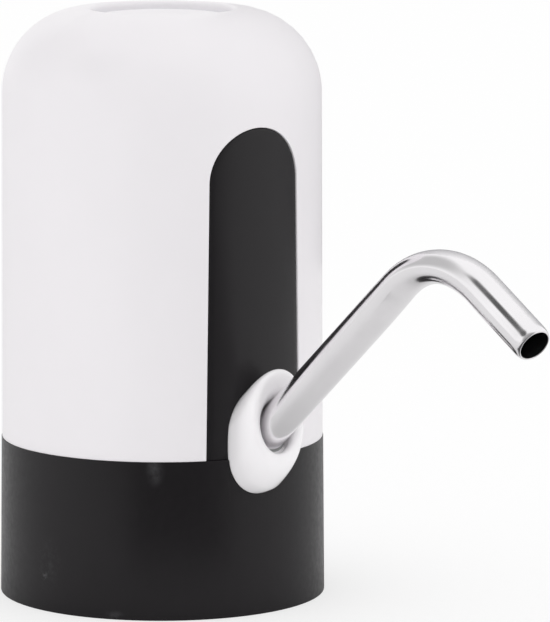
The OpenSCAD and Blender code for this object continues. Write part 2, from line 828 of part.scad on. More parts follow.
// Inner frame: four columns, the shelf under the pump and the cell's cradle.
module chassis() {
  color("#dcdcd8") difference() {
    union() {
      intersection() {
        at_columns() bar(column_r, deck_top, top_plate_z);
        bar(deck_r, deck_top, top_plate_z);
      }
      bar(shelf_r, shelf_z, shelf_top);
      translate([cell_x, cell_y, shelf_z])
        rotate([0, 0, -cradle_angle / 2])
          rotate_extrude(angle = cradle_angle)
            translate([cradle_in, 0])
              square([cradle_wall, shelf_t + cradle_h]);
    }
    at_columns() {
      bar(screw_r + seat_gap, deck_top - over, base_screw_z + base_screw_len + over);
      bar(screw_r + seat_gap, top_plate_z + top_plate_t - top_screw_len - over, top_plate_z + over);
    }
    translate([outlet_x / 2, 0, shelf_z - over])
      linear_extrude(shelf_t + 2 * over)
        slot_outline(hose_r + hose_wall + hose_end_gap, outlet_x / 2);
    translate([notch_x, -boss_r - slack, shelf_z - over])
      cube([base_r, 2 * (boss_r + slack), shelf_t + 2 * over]);
    difference() {
      arch_block(panel_w / 2 + panel_lip + slack, shelf_z - over, panel_top);
      bar(panel_back(shoulder_z) - slack, shelf_z - 2 * over, panel_top);
    }
    at_pump_screws() bar(screw_r + fit_gap, shelf_z - over, shelf_top + over);
    for (y = [-wire_hole_y, wire_hole_y])
      translate([wire_hole_x, y, 0]) bar(wire_hole_r, shelf_z - over, shelf_top + over);
  }
}

// Plate on the columns that carries the switch board.
module top_plate() {
  color("#dcdcd8") difference() {
    union() {
      bar(top_plate_r, top_plate_z, top_plate_top);
      at_standoffs() bar(standoff_r, top_plate_z, switch_board_z);
    }
    at_columns() bar(screw_r + fit_gap, top_plate_z - over, top_plate_top + over);
    at_standoffs() bar(small_screw_r + seat_gap, top_plate_z - over, switch_board_z + over);
    translate([wire_hole_x, wire_hole_y, 0]) bar(wire_hole_r, top_plate_z - over, top_plate_top + over);
  }
}

// Straight hose from the bottle nipple up to the pump.
module inlet_hose() {
  color("#e8e8e8") pipe(
    hose_r + hose_wall, hose_r,
    deck_top + nipple_flange_t + hose_end_gap,
    shelf_top - deck_top - nipple_flange_t - 2 * hose_end_gap
  );
}

// Moulded elbow from the pump down to the outlet boss.
module outlet_hose() {
  color("#e8e8e8") {
    translate([outlet_x, 0, 0])
      pipe(hose_r + hose_wall, hose_r, outlet_turn_z, shelf_top - outlet_turn_z - hose_end_gap);
    translate([outlet_turn_x, 0, outlet_turn_z])
      rotate([90, 0, 0])
        rotate([0, 0, 180])
          rotate_extrude(angle = 90)
            translate([outlet_bend_r, 0])
              difference() {
                circle(hose_r + hose_wall);
                circle(hose_r);
              }
    translate([outlet_turn_x, 0, barb_z])
      rotate([0, 90, 0])
        pipe(hose_r + hose_wall, hose_r, 0, boss_inner_x - outlet_turn_x - hose_end_gap);
  }
}

// Lower cover of the pump with both nipples.
module pump_cover() {
  ports = [pump_x - port_gap, outlet_x];
  nipple_end = [shelf_top - barb_len - cover_barb_more, outlet_turn_z + slack];
  color("#f0f0ec") difference() {
    union() {
      translate([0, 0, shelf_top]) linear_extrude(cover_t) pump_outline();
      for (i = [0, 1]) translate([ports[i], 0, 0]) bar(barb_r, nipple_end[i], shelf_top + over);
    }
    for (i = [0, 1]) translate([ports[i], 0, 0]) bar(barb_bore, nipple_end[i] - over, cover_top + over);
    translate([pump_x, motor_y, 0]) bar(shaft_r + run_gap, cover_top - shaft_bite - slack, cover_top + over);
    translate([pump_x, idler_y, 0]) bar(pin_r + seat_gap, cover_top - pin_bite, cover_top + over);
    at_pump_screws() bar(screw_r + fit_gap, shelf_top - over, cover_top + over);
  }
}

// Sheet gasket between the cover and the gear housing.
module pump_gasket() {
  color("#303030") translate([0, 0, cover_top]) linear_extrude(pump_gasket_t) difference() {
    pump_outline();
    gear_rooms();
    at_pump_screws() circle(screw_r + fit_gap);
  }
}

// Gear housing with its two rooms.
module pump_housing() {
  color("#f0f0ec") translate([0, 0, housing_z]) linear_extrude(housing_h) difference() {
    pump_outline();
    gear_rooms();
    at_pump_screws() circle(screw_r + fit_gap);
  }
}

// Plate that closes the gear housing and carries the motor.
module pump_top() {
  color("#f0f0ec") difference() {
    translate([0, 0, pump_top_z]) linear_extrude(pump_top_t) pump_outline();
    translate([pump_x, motor_y, 0]) {
      bar(shaft_r + slack, pump_top_z - over, motor_z + over);
      bar(seal_ring_r, pump_top_z - over, pump_top_z + seal_ring_t);
      bar(hub_r + seat_gap, motor_z - hub_h - seat_gap, motor_z + over);
    }
    translate([pump_x, idler_y, 0]) bar(pin_r + seat_gap, pump_top_z - over, pump_top_z + pin_bite);
    at_pump_screws() bar(screw_r + seat_gap, pump_top_z - over, pump_top_z + pin_bite);
    at_motor_screws() {
      bar(small_screw_r + fit_gap, pump_top_z - over, motor_z + over);
      bar(small_head_r + fit_gap, pump_top_z - over, pump_top_z + motor_head_sink);
    }
  }
}

// Lip seal round the motor's shaft.
module shaft_seal() {
  color("#303030") translate([pump_x, motor_y, 0])
    pipe(seal_ring_r - seat_gap, shaft_r + run_gap, pump_top_z + seat_gap, seal_ring_t - 2 * seat_gap);
}

// Gear on the motor's shaft.
module drive_gear() {
  color("#f4f1e4") translate([pump_x, motor_y, housing_z + gear_end_gap])
    linear_extrude(gear_t) difference() {
      gear_outline();
      circle(shaft_r + run_gap / 2);
    }
}

// Gear that the drive gear turns, half a tooth round from it.
module idler_gear() {
  color("#f4f1e4") translate([pump_x, idler_y, housing_z + gear_end_gap])
    rotate([0, 0, gear_teeth % 2 == 0 ? 180 / gear_teeth : 0])
      linear_extrude(gear_t) difference() {
        gear_outline();
        circle(pin_r + run_gap);
      }
}

// Steel pin that the idler gear turns on.
module idler_pin() {
  color("silver") translate([pump_x, idler_y, 0])
    bar(pin_r, cover_top - pin_bite + seat_gap, pump_top_z + pin_bite - seat_gap);
}

// Places its children on the motor's axis.
module on_motor() {
  translate([pump_x, motor_y, 0]) children();
}

// Drawn steel can of the motor.
module motor_can() {
  color("silver") difference() {
    union() {
      on_motor() bar(motor_r, motor_z, motor_top);
      on_motor() bar(hub_r, motor_z - hub_h, motor_z + can_wall);
    }
    on_motor() bar(motor_r - can_wall, motor_z + can_wall, motor_top + over);
    on_motor() bar(bush_r + seat_gap, motor_z - hub_h - over, motor_z + 2 * can_wall);
    at_motor_screws() bar(small_screw_r + seat_gap, motor_z - over, motor_z + 2 * can_wall);
  }
}

// Plastic end bell that closes the can.
module motor_end_bell() {
  color("#f0f0ec") on_motor() difference() {
    union() {
      bar(motor_r, motor_top, bell_top);
      bar(motor_r - can_wall - seat_gap, motor_top - bell_plug, motor_top);
    }
    bar(bush_r + seat_gap, motor_top - bell_plug - over, motor_top - bell_plug + bush_len + seat_gap);
    bar(shaft_r + slack, motor_top, bell_top + over);
  }
}

// Two arc magnets inside the can.
module motor_magnets() {
  color("#3a3a3c") on_motor() for (turn = [0, 180])
    rotate([0, 0, turn - magnet_angle / 2])
      translate([0, 0, magnet_z])
        rotate_extrude(angle = magnet_angle)
          translate([magnet_in, 0])
            square([magnet_out - magnet_in, magnet_len]);
}

// Steel shaft from the pump's cover to the end bell.
module motor_shaft() {
  color("silver") on_motor() bar(shaft_r, cover_top - shaft_bite, bell_top);
}

// Laminated core with three poles.
module armature_core() {
  color("#8a8d90") on_motor() translate([0, 0, core_z]) linear_extrude(core_len) difference() {
    union() {
      circle(coil_in - seat_gap);
      for (turn = [0, 120, 240]) rotate(turn) {
        translate([0, -pole_w / 2]) square([core_r - shoe_t / 2, pole_w]);
        intersection() {
          difference() {
            circle(core_r);
            circle(core_r - shoe_t);
          }
          polygon([
            [0, 0], 2 * core_r * [cos(shoe_angle / 2), -sin(shoe_angle / 2)], [2 * core_r, 0],
            2 * core_r * [cos(shoe_angle / 2), sin(shoe_angle / 2)]
          ]);
        }
      }
    }
    circle(shaft_r + run_gap / 2);
  }
}

// Three coils, one round each pole.
module armature_windings() {
  coil_half = pole_w / 2 + coil_t;
  coil_out = sqrt(pow(core_r - shoe_t - seat_gap, 2) - pow(coil_half, 2));
  color("#b8632d") on_motor() for (turn = [0, 120, 240])
    rotate([0, 0, turn]) difference() {
      translate([coil_in, -coil_half, core_z - coil_t])
        cube([coil_out - coil_in, 2 * coil_half, core_len + 2 * coil_t]);
      translate([coil_in - over, -pole_w / 2 - seat_gap, core_z - seat_gap])
        cube([coil_out - coil_in + 2 * over, pole_w + 2 * seat_gap, core_len + 2 * seat_gap]);
    }
}

// Three copper segments on the shaft.
module commutator() {
  slit = 0.4;
  color("#c07a3a") on_motor() difference() {
    pipe(comm_r, shaft_r + run_gap / 2, comm_z, comm_len);
    for (turn = [0, 120, 240])
      rotate([0, 0, turn])
        translate([0, -slit / 2, comm_z - over])
          cube([2 * comm_r, slit, comm_len + 2 * over]);
  }
}

// Two spring brushes that hang from the end bell beside the commutator.
module motor_brushes() {
  brush_low = comm_z + brush_rise;
  color("#c9a25a") on_motor() for (side = [0, 180])
    rotate([0, 0, side])
      translate([comm_r + seat_gap, -brush_w / 2, brush_low])
        cube([brush_t, brush_w, motor_top - bell_plug - brush_low]);
}

// Sintered bushes at both ends of the motor.
module motor_bushings() {
  color("#a67c3d") on_motor() {
    pipe(bush_r, shaft_r + run_gap, motor_z - hub_h + seat_gap, bush_len);
    pipe(bush_r, shaft_r + run_gap, motor_top - bell_plug, bush_len);
  }
}

// Two solder tags on the end bell.
module motor_terminals() {
  tag = [0.5, 2.4, 3.6];
  color("#d8c27a") on_motor() for (side = [-1, 1])
    translate([side * terminal_ring - tag[0] / 2, -tag[1] / 2, bell_top]) cube(tag);
}

// Lithium cell with its crimp groove and positive cap.
module battery_cell() {
  groove_drop = 4;
  groove_half = 1;
  groove = 0.5;
  groove_z = cell_top - groove_drop;
  cap_r = 4;
  cap_h = 0.6;
  color("#3f6fa8") translate([cell_x, cell_y, 0]) rotate_extrude() polygon([
    [0, cell_z], [cell_r, cell_z], [cell_r, groove_z - groove_half], [cell_r - groove, groove_z],
    [cell_r, groove_z + groove_half], [cell_r, cell_top - cap_h], [cap_r, cell_top - cap_h],
    [cap_r, cell_top], [0, cell_top]
  ]);
}

// Nickel strips welded to both ends of the cell.
module battery_tabs() {
  tab_w = 5;
  tab_weld = 3;
  tab_tail = 2.5;
  tab_len = tab_weld + cell_r + tab_tail;
  color("#c8c8c4") translate([cell_x, cell_y, 0]) {
    rotate([0, 0, 180])
      translate([-tab_weld, -tab_w / 2, shelf_top]) cube([tab_len, tab_w, tab_t]);
    translate([-tab_weld, -tab_w / 2, cell_top]) cube([tab_len, tab_w, tab_t]);
  }
}

// Foam pad between the cell and the top plate.
module battery_foam() {
  inset = 1.2;
  color("#404040") translate([cell_x, cell_y, 0]) bar(cell_r - inset, cell_top + tab_t, top_plate_z);
}

// Round board under the button.
module switch_board() {
  color("#2f6b3c") difference() {
    bar(switch_board_r, switch_board_z, switch_board_top);
    at_standoffs() bar(small_screw_r + fit_gap, switch_board_z - over, switch_board_top + over);
  }
}

// Square housing of the switch, with the hole for its plunger.
module switch_body() {
  color("#26282b") difference() {
    translate([-switch_w / 2, -switch_w / 2, switch_board_top]) cube([switch_w, switch_w, switch_h]);
    bar(plunger_r + fit_gap, switch_board_top + switch_h - button_travel - plunger_h, rim_z);
  }
}

// Plunger of the switch.
module switch_plunger() {
  color("#d9a441") bar(plunger_r, switch_board_top + switch_h - plunger_h + slack, plunger_top);
}

// Small lamps on the switch board, under the light ring.
module indicator_leds() {
  color("#eef6ff") for (angle = led_angles)
    rotate([0, 0, angle])
      translate([led_ring - led_w / 2, -led_w / 2, switch_board_top])
        cube([led_w, led_w, led_h]);
}

// Board that charges the cell and drives the motor.
module charge_board() {
  color("#2f6b3c") difference() {
    translate([charge_board_out, -charge_board_w / 2, charge_board_z])
      cube([charge_board_in - charge_board_out, charge_board_w, board_t]);
    at_charge_posts() bar(small_screw_r + fit_gap, charge_board_z - over, charge_board_top + over);
  }
}

// Chips, coil and capacitors on the charging board.
module charge_parts() {
  chip = [5, 4, 1.4];
  chip_x = charge_board_in - 10.5;
  choke_r = 2.4;
  choke_h = 2.2;
  choke_x = charge_board_out + 7.5;
  choke_y = -5.8;
  cap = [1.6, 0.9, 0.8];
  cap_x = charge_board_out + 5.8;
  cap_y = 5;
  cap_step = 2.2;
  color("#2a2c30") {
    translate([chip_x, -chip[1] / 2, charge_board_top]) cube(chip);
    translate([choke_x, choke_y, charge_board_top]) cylinder(r = choke_r, h = choke_h);
    for (i = [0 : 3]) translate([cap_x + i * cap_step, cap_y, charge_board_top]) cube(cap);
  }
}

// Outline of the charging socket, with its lower corners cut.
module usb_outline(inset) {
  half = usb_w / 2 - inset;
  cut = 0.9;
  polygon([
    [-half + cut, inset], [half - cut, inset], [half, inset + cut], [half, usb_h - inset],
    [-half, usb_h - inset], [-half, inset + cut]
  ]);
}

// Metal shell of the charging socket, closed at the back.
module usb_shell() {
  color("silver") translate([usb_x, 0, charge_board_top]) rotate([90, 0, 90]) difference() {
    linear_extrude(usb_len) usb_outline(0);
    translate([0, 0, -over]) linear_extrude(usb_len - usb_wall + over) usb_outline(usb_wall);
  }
}

// Contact tongue in the charging socket.
module usb_tongue() {
  tongue = [4, 3.6, 0.6];
  color("#202224")
    translate([usb_x + usb_len - usb_wall - tongue[0], -tongue[1] / 2, charge_board_top + usb_h / 2])
      cube(tongue);
}

// Long screws that hold base, deck and chassis together.
module base_screws() {
  color("#8d9094") at_columns()
    translate([0, 0, base_screw_z]) screw(screw_r, base_screw_len, screw_head_r, screw_head_t);
}

// Long screws through the shelf and the pump.
module pump_screws() {
  color("#8d9094") at_pump_screws()
    translate([0, 0, shelf_z])
      screw(screw_r, pump_top_z + pin_bite - seat_gap - shelf_z, screw_head_r, screw_head_t);
}

// Screws from the pump's plate into the motor's face.
module motor_screws() {
  color("#8d9094") at_motor_screws()
    translate([0, 0, pump_top_z + small_head_t])
      screw(small_screw_r, motor_screw_len - small_head_t, small_head_r, small_head_t);
}

// Screws from the top plate into the columns.
module top_screws() {
  color("#8d9094") at_columns()
    translate([0, 0, top_plate_top])
      rotate([180, 0, 0]) screw(screw_r, top_screw_len, screw_head_r, screw_head_t);
}

// Screws that hold the switch board to its standoffs.
module switch_board_screws() {
  color("#8d9094") at_standoffs()
    translate([0, 0, switch_board_top])
      rotate([180, 0, 0]) screw(small_screw_r, board_t + standoff_h, small_head_r, small_head_t);
}

// Screws that hold the charging board to its posts.
module charge_board_screws() {
  color("#8d9094") at_charge_posts()
    translate([0, 0, charge_board_top])
      rotate([180, 0, 0]) screw(small_screw_r, charge_screw_len, small_head_r, small_head_t);
}

// Screws through the boss's ears into the front panel.
module boss_screws() {
  color("#8d9094") for (side = [-1, 1])
    translate([ear_x, side * boss_screw_y, boss_screw_z])
      rotate([0, 90, 0]) screw(small_screw_r, ear_t + boss_screw_len - seat_gap, small_head_r, small_head_t);
}

// A unit vector.
function unit(v) = v / norm(v);

// A point on the smooth curve between the second and third of four points.
function curve_point(a, b, c, d, t) =
  0.5 * (2 * b + (c - a) * t + (2 * a - 5 * b + 4 * c - d) * t * t + (3 * b - a - 3 * c + d) * t * t * t);

// Points along the smooth curve through a route's own points.
function curve(route, steps) = [
  for (i = [0 : len(route) - 2], s = [0 : i == len(route) - 2 ? steps : steps - 1])
    curve_point(route[max(i - 1, 0)], route[i], route[i + 1], route[min(i + 2, len(route) - 1)], s / steps)
];

// The part of a vector that is square to a direction, at unit length.
function square_to(v, direction) = unit(v - (v * direction) * direction);

// A lead along a route: one closed skin of triangles.
module lead(route) {
  steps = 4;
  sides = 8;
  line = curve(route, steps);
  last = len(line) - 1;
  final = len(route) - 1;
  ways = [
    for (i = [0 : last])
      i == 0 ? unit(route[1] - route[0])
      : i == last ? unit(route[final] - route[final - 1])
      : unit(line[i + 1] - line[i - 1])
  ];
  across = [
    for (i = 0, v = square_to([1, 0.2, 0.1], ways[0]);
         i <= last;
         i = i + 1, v = i <= last ? square_to(v, ways[i]) : v)
      v
  ];
  rings = [
    for (i = [0 : last], k = [0 : sides - 1])
      let (angle = k * 360 / sides)
        line[i] + lead_r * (cos(angle) * across[i] + sin(angle) * cross(ways[i], across[i]))
  ];
  skin = [
    for (i = [0 : last - 1], k = [0 : sides - 1], half = [0, 1])
      let (a = i * sides + k, b = i * sides + (k + 1) % sides)
        half == 0 ? [a, b + sides, b] : [a, a + sides, b + sides]
  ];
  ends = [
    for (k = [1 : sides - 2], end = [0, 1])
      let (first = end * last * sides)
        end == 0 ? [first, first + k, first + k + 1] : [first, first + k + 1, first + k]
  ];
  polyhedron(points = rings, faces = concat(skin, ends));
}

// Lead from the cell's upper strip down to the charging board.
module battery_lead_red() {
  color("#c0302a") lead(battery_red_route);
}

// Lead from the cell's lower strip round the cradle to the charging board.
module battery_lead_black() {
  color("#202020") lead(battery_black_route);
}

// Lead from the motor's left tag to the charging board.
module motor_lead_red() {
  color("#c0302a") lead(motor_red_route);
}

// Lead from the motor's right tag to the charging board.
module motor_lead_black() {
  color("#202020") lead(motor_black_route);
}

// Lead from the charging board up to the switch board.
module switch_lead() {
  color("#e8e8e8") lead(switch_route);
}

base_ring();
neck_gasket();
deck_plate();
hose_nipple();
shell();
front_panel();
spout_boss();
spout_seal();
spout_tube();
button_cap();
light_ring();
chassis();
top_plate();
inlet_hose();
outlet_hose();
pump_cover();
pump_gasket();
pump_housing();
pump_top();
shaft_seal();
drive_gear();
idler_gear();
idler_pin();
motor_can();
motor_end_bell();
motor_magnets();
motor_shaft();
armature_core();
armature_windings();
commutator();
motor_brushes();
motor_bushings();
motor_terminals();
battery_cell();
battery_tabs();
battery_foam();
switch_board();
switch_body();
switch_plunger();
indicator_leds();
charge_board();
charge_parts();
usb_shell();
usb_tongue();
base_screws();
pump_screws();
motor_screws();
top_screws();
switch_board_screws();
charge_board_screws();
boss_screws();
battery_lead_red();
battery_lead_black();
motor_lead_red();
motor_lead_black();
switch_lead();
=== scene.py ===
"""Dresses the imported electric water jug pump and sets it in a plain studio.

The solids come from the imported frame. The pieces that show are rebuilt here with their moulded edges and
take their places and main sizes from the frame, and every solid that stays gets a procedural finish. Lengths
in the classes are millimetres, and the pump stands as in the frame: +X to the spout and +Z up.
"""

import json
import logging
import math
from collections.abc import Callable, Sequence
from dataclasses import dataclass
from enum import Enum

import bmesh
import bpy
from mathutils import Matrix, Vector


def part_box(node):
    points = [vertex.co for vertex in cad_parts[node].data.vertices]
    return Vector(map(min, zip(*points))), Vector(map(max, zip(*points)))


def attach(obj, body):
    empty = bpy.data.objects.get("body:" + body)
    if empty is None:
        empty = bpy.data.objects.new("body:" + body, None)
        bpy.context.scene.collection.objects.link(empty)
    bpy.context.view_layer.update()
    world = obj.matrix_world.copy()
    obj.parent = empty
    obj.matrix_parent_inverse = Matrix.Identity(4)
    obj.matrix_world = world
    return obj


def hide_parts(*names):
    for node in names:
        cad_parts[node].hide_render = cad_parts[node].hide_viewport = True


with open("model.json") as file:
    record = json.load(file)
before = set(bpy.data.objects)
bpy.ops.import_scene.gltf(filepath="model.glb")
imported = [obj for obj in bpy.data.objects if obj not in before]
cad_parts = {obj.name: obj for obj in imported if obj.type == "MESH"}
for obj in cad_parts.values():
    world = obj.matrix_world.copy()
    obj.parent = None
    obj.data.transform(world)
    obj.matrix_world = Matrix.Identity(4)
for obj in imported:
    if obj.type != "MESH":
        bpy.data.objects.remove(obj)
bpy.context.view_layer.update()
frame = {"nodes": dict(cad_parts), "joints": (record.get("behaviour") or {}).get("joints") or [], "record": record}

log = logging.getLogger("jug_pump")

MM = 0.001
WELD = 2e-7
SHARP_DEG = 32.0
# How far, in millimetres, a cutting mesh reaches past what it cuts.
PAST = 1.0
# Places of the two colours and the result among the mix node's sockets.
MIX_FIRST = 6
MIX_SECOND = 7
MIX_RESULT = 2
WHITE = "#ffffff"

Point = tuple[float, float, float]
Spot = tuple[float, float]


class Ride(Enum):
    """Bodies of the pump that the new pieces ride on."""

    HOUSING = "housing"
    BUTTON = "button"
    SPOUT = "spout"


class Cut(Enum):
    """Ways of joining one mesh with another."""

    TAKE_AWAY = "DIFFERENCE"
    JOIN = "UNION"


def linear(colour: str) -> tuple[float, float, float, float]:
    """Turns an sRGB hex colour into linear values.

    Args:
        colour: the colour as #rrggbb.

    Returns:
        Linear red, green, blue and an alpha of 1.
    """
    parts = [int(colour[i : i + 2], 16) / 255 for i in (1, 3, 5)]
    toned = [c / 12.92 if c <= 0.04045 else ((c + 0.055) / 1.055) ** 2.4 for c in parts]
    return toned[0], toned[1], toned[2], 1.0


def add_node(
    tree: bpy.types.NodeTree,
    kind: str,
    links: dict[str | int, bpy.types.NodeSocket] | None = None,
    values: dict[str | int, object] | None = None,
    **settings: object,
) -> bpy.types.Node:
    """Adds a shader node with its settings and links.

    Args:
        tree: the node tree that gets the node.
        kind: the node's type name.
        links: output sockets for the node's inputs, by input name or index.
        values: plain values for the node's inputs, by input name or index.
        settings: the node's own properties.

    Returns:
        The new node.
    """
    node = tree.nodes.new(kind)
    for key, value in settings.items():
        setattr(node, key, value)
    for key, value in (values or {}).items():
        node.inputs[key].default_value = value
    for key, socket in (links or {}).items():
        tree.links.new(socket, node.inputs[key])
    return node


def per_metre(size_mm: float) -> float:
    """Gives the pattern scale, in metres of object space, whose features have a given size."""
    return 1.0 / (size_mm * MM)


@dataclass(frozen=True)
class Finish:
    """A real material, with how its surface was made.

    Each starts with a slow drift of the colour, a fine grit in the gloss and a shallow relief. The grit of a
    real surface is too fine to show, so it is drawn as coarse as it needs to be.
    """

    DRIFT_DETAIL = 3.0
    DRIFT_ROUGHNESS = 0.55
    GRIT_DETAIL = 4.0
    GRIT_ROUGHNESS = 0.6
    GRIT_LOW = 0.25
    GRIT_HIGH = 0.75
    LEAST_ROUGHNESS = 0.02

    name: str
    colour: str
    drift: str
    roughness: float
    metallic: float = 0.0
    ior: float = 1.5
    specular: float = 0.5
    coat: float = 0.0
    coat_roughness: float = 0.1
    subsurface: float = 0.0
    depth_mm: float = 1.0
    transmission: float = 0.0
    drift_mm: float = 14.0
    grit_mm: float = 0.9
    gloss_spread: float = 0.06
    relief_mm: float = 0.01

    def material(self) -> bpy.types.Material:
        """Builds the material with its nodes.

        Returns:
            The new material.
        """
        material = bpy.data.materials.new(self.name)
        material.use_nodes = True
        material.diffuse_color = linear(self.colour)
        tree = material.node_tree
        shader = tree.nodes["Principled BSDF"]
        place = add_node(tree, "ShaderNodeTexCoord").outputs["Object"]
        cloud = add_node(
            tree,
            "ShaderNodeTexNoise",
            links={"Vector": place},
            values={
                "Scale": per_metre(self.drift_mm),
                "Detail": self.DRIFT_DETAIL,
                "Roughness": self.DRIFT_ROUGHNESS,
            },
        )
        tone = add_node(
            tree,
            "ShaderNodeMix",
            links={"Factor": cloud.outputs["Fac"]},
            values={MIX_FIRST: linear(self.colour), MIX_SECOND: linear(self.drift)},
            data_type="RGBA",
        )
        grit = add_node(
            tree,
            "ShaderNodeTexNoise",
            links={"Vector": place},
            values={
                "Scale": per_metre(self.grit_mm),
                "Detail": self.GRIT_DETAIL,
                "Roughness": self.GRIT_ROUGHNESS,
            },
        )
        gloss = add_node(
            tree,
            "ShaderNodeMapRange",
            links={"Value": grit.outputs["Fac"]},
            values={
                "From Min": self.GRIT_LOW,
                "From Max": self.GRIT_HIGH,
                "To Min": max(self.roughness - self.gloss_spread, self.LEAST_ROUGHNESS),
                "To Max": min(self.roughness + self.gloss_spread, 1.0),
            },
        )
        relief = add_node(
            tree,
            "ShaderNodeBump",
            links={"Height": grit.outputs["Fac"]},
            values={"Strength": 1.0, "Distance": self.relief_mm * MM},
        )
        tree.links.new(tone.outputs[MIX_RESULT], shader.inputs["Base Color"])
        tree.links.new(gloss.outputs["Result"], shader.inputs["Roughness"])
        tree.links.new(relief.outputs["Normal"], shader.inputs["Normal"])
        plain = {
            "Metallic": self.metallic,
            "IOR": self.ior,
            "Specular IOR Level": self.specular,
            "Coat Weight": self.coat,
            "Coat Roughness": self.coat_roughness,
            "Transmission Weight": self.transmission,
            "Subsurface Weight": self.subsurface,
            "Subsurface Radius": (1.0, 1.0, 1.0),
            "Subsurface Scale": self.depth_mm * MM,
        }
        for socket, value in plain.items():
            shader.inputs[socket].default_value = value
        self.detail(tree, shader, place)
        return material

    def detail(self, tree: bpy.types.NodeTree, shader: bpy.types.Node, place: bpy.types.NodeSocket) -> None:
        """Adds what only this material has; a plain one adds nothing."""

    def over_colour(
        self, tree: bpy.types.NodeTree, shader: bpy.types.Node, share: bpy.types.NodeSocket, colour: str
    ) -> None:
        """Lays a second colour over the material.

        Args:
            tree: the material's node tree.
            shader: its shader node.
            share: how much of the second colour shows, from 0 to 1.
            colour: the second colour as sRGB hex.
        """
        below = shader.inputs["Base Color"].links[0].from_socket
        layer = add_node(
            tree,
            "ShaderNodeMix",
            links={"Factor": share, MIX_FIRST: below},
            values={MIX_SECOND: linear(colour)},
            data_type="RGBA",
        )
        tree.links.new(layer.outputs[MIX_RESULT], shader.inputs["Base Color"])


@dataclass(frozen=True)
class Mark:
    """A handling mark on the black plastic: where it is, how far it spreads and what it looks like."""

    centre: Point
    spread: Point
    grain_mm: float
    strength: float
    threshold: float


@dataclass(frozen=True)
class HandledPlastic(Finish):
    """Satin moulded plastic with pale rub marks from handling."""

    SPECKLE_DETAIL = 5.0
    SPECKLE_ROUGHNESS = 0.65
    SPECKLE_FADE = 0.2

    rub_colour: str = "#8d8d90"
    marks: tuple[Mark, ...] = ()

    def detail(self, tree: bpy.types.NodeTree, shader: bpy.types.Node, place: bpy.types.NodeSocket) -> None:
        """Adds each mark as a soft patch broken up by noise.

        Args:
            tree: the material's node tree.
            shader: its shader node.
            place: the object's own coordinates.
        """
        for mark in self.marks:
            moved = add_node(
                tree,
                "ShaderNodeMapping",
                links={"Vector": place},
                values={
                    "Location": tuple(-c / s for c, s in zip(mark.centre, mark.spread)),
                    "Scale": tuple(per_metre(s) for s in mark.spread),
                },
            )
            away = add_node(
                tree, "ShaderNodeVectorMath", links={0: moved.outputs["Vector"]}, operation="LENGTH"
            )
            near = add_node(
                tree,
                "ShaderNodeMapRange",
                links={"Value": away.outputs["Value"]},
                values={"From Min": 1.0, "From Max": 0.0, "To Min": 0.0, "To Max": 1.0},
                interpolation_type="SMOOTHSTEP",
            )
            speckle = add_node(
                tree,
                "ShaderNodeTexNoise",
                links={"Vector": place},
                values={
                    "Scale": per_metre(mark.grain_mm),
                    "Detail": self.SPECKLE_DETAIL,
                    "Roughness": self.SPECKLE_ROUGHNESS,
                },
            )
            broken = add_node(
                tree,
                "ShaderNodeMapRange",
                links={"Value": speckle.outputs["Fac"]},
                values={
                    "From Min": mark.threshold,
                    "From Max": mark.threshold + self.SPECKLE_FADE,
                    "To Min": 0.0,
                    "To Max": mark.strength,
                },
            )
            share = add_node(
                tree,
                "ShaderNodeMath",
                links={0: near.outputs["Result"], 1: broken.outputs["Result"]},
                operation="MULTIPLY",
                use_clamp=True,
            )
            self.over_colour(tree, shader, share.outputs["Value"], self.rub_colour)


@dataclass(frozen=True)
class DrawnSteel(Finish):
    """Polished tube with the faint lengthwise lines that drawing leaves and a cloudy polish.

    Real drawing lines are too fine to show, so these are drawn as coarse as they need to be.
    """

    LINE_DETAIL = 3.0
    LINE_ROUGHNESS = 0.6
    POLISH_DETAIL = 2.0
    POLISH_LOW = 0.3
    POLISH_HIGH = 0.7

    line_mm: float = 0.35
    line_long_mm: float = 26.0
    line_relief_mm: float = 0.0016

    def detail(self, tree: bpy.types.NodeTree, shader: bpy.types.Node, place: bpy.types.NodeSocket) -> None:
        """Adds lines that run along the tube, from the map of its length and girth.

        Args:
            tree: the material's node tree.
            shader: its shader node.
            place: the object's own coordinates.
        """
        along = add_node(tree, "ShaderNodeUVMap", uv_map=MeshDraft.MAP)
        stretched = add_node(
            tree,
            "ShaderNodeMapping",
            links={"Vector": along.outputs["UV"]},
            values={"Scale": (1.0 / self.line_mm, 1.0 / self.line_long_mm, 1.0)},
        )
        lines = add_node(
            tree,
            "ShaderNodeTexNoise",
            links={"Vector": stretched.outputs["Vector"]},
            values={"Scale": 1.0, "Detail": self.LINE_DETAIL, "Roughness": self.LINE_ROUGHNESS},
        )
        relief = add_node(
            tree,
            "ShaderNodeBump",
            links={"Height": lines.outputs["Fac"]},
            values={"Strength": 1.0, "Distance": self.line_relief_mm * MM},
        )
        tree.links.new(relief.outputs["Normal"], shader.inputs["Normal"])
        cloud = add_node(
            tree,
            "ShaderNodeTexNoise",
            links={"Vector": place},
            values={"Scale": per_metre(self.drift_mm), "Detail": self.POLISH_DETAIL},
        )
        gloss = add_node(
            tree,
            "ShaderNodeMapRange",
            links={"Value": cloud.outputs["Fac"]},
            values={
                "From Min": self.POLISH_LOW,
                "From Max": self.POLISH_HIGH,
                "To Min": self.roughness - self.gloss_spread,
                "To Max": self.roughness + self.gloss_spread,
            },
        )
        tree.links.new(gloss.outputs["Result"], shader.inputs["Roughness"])


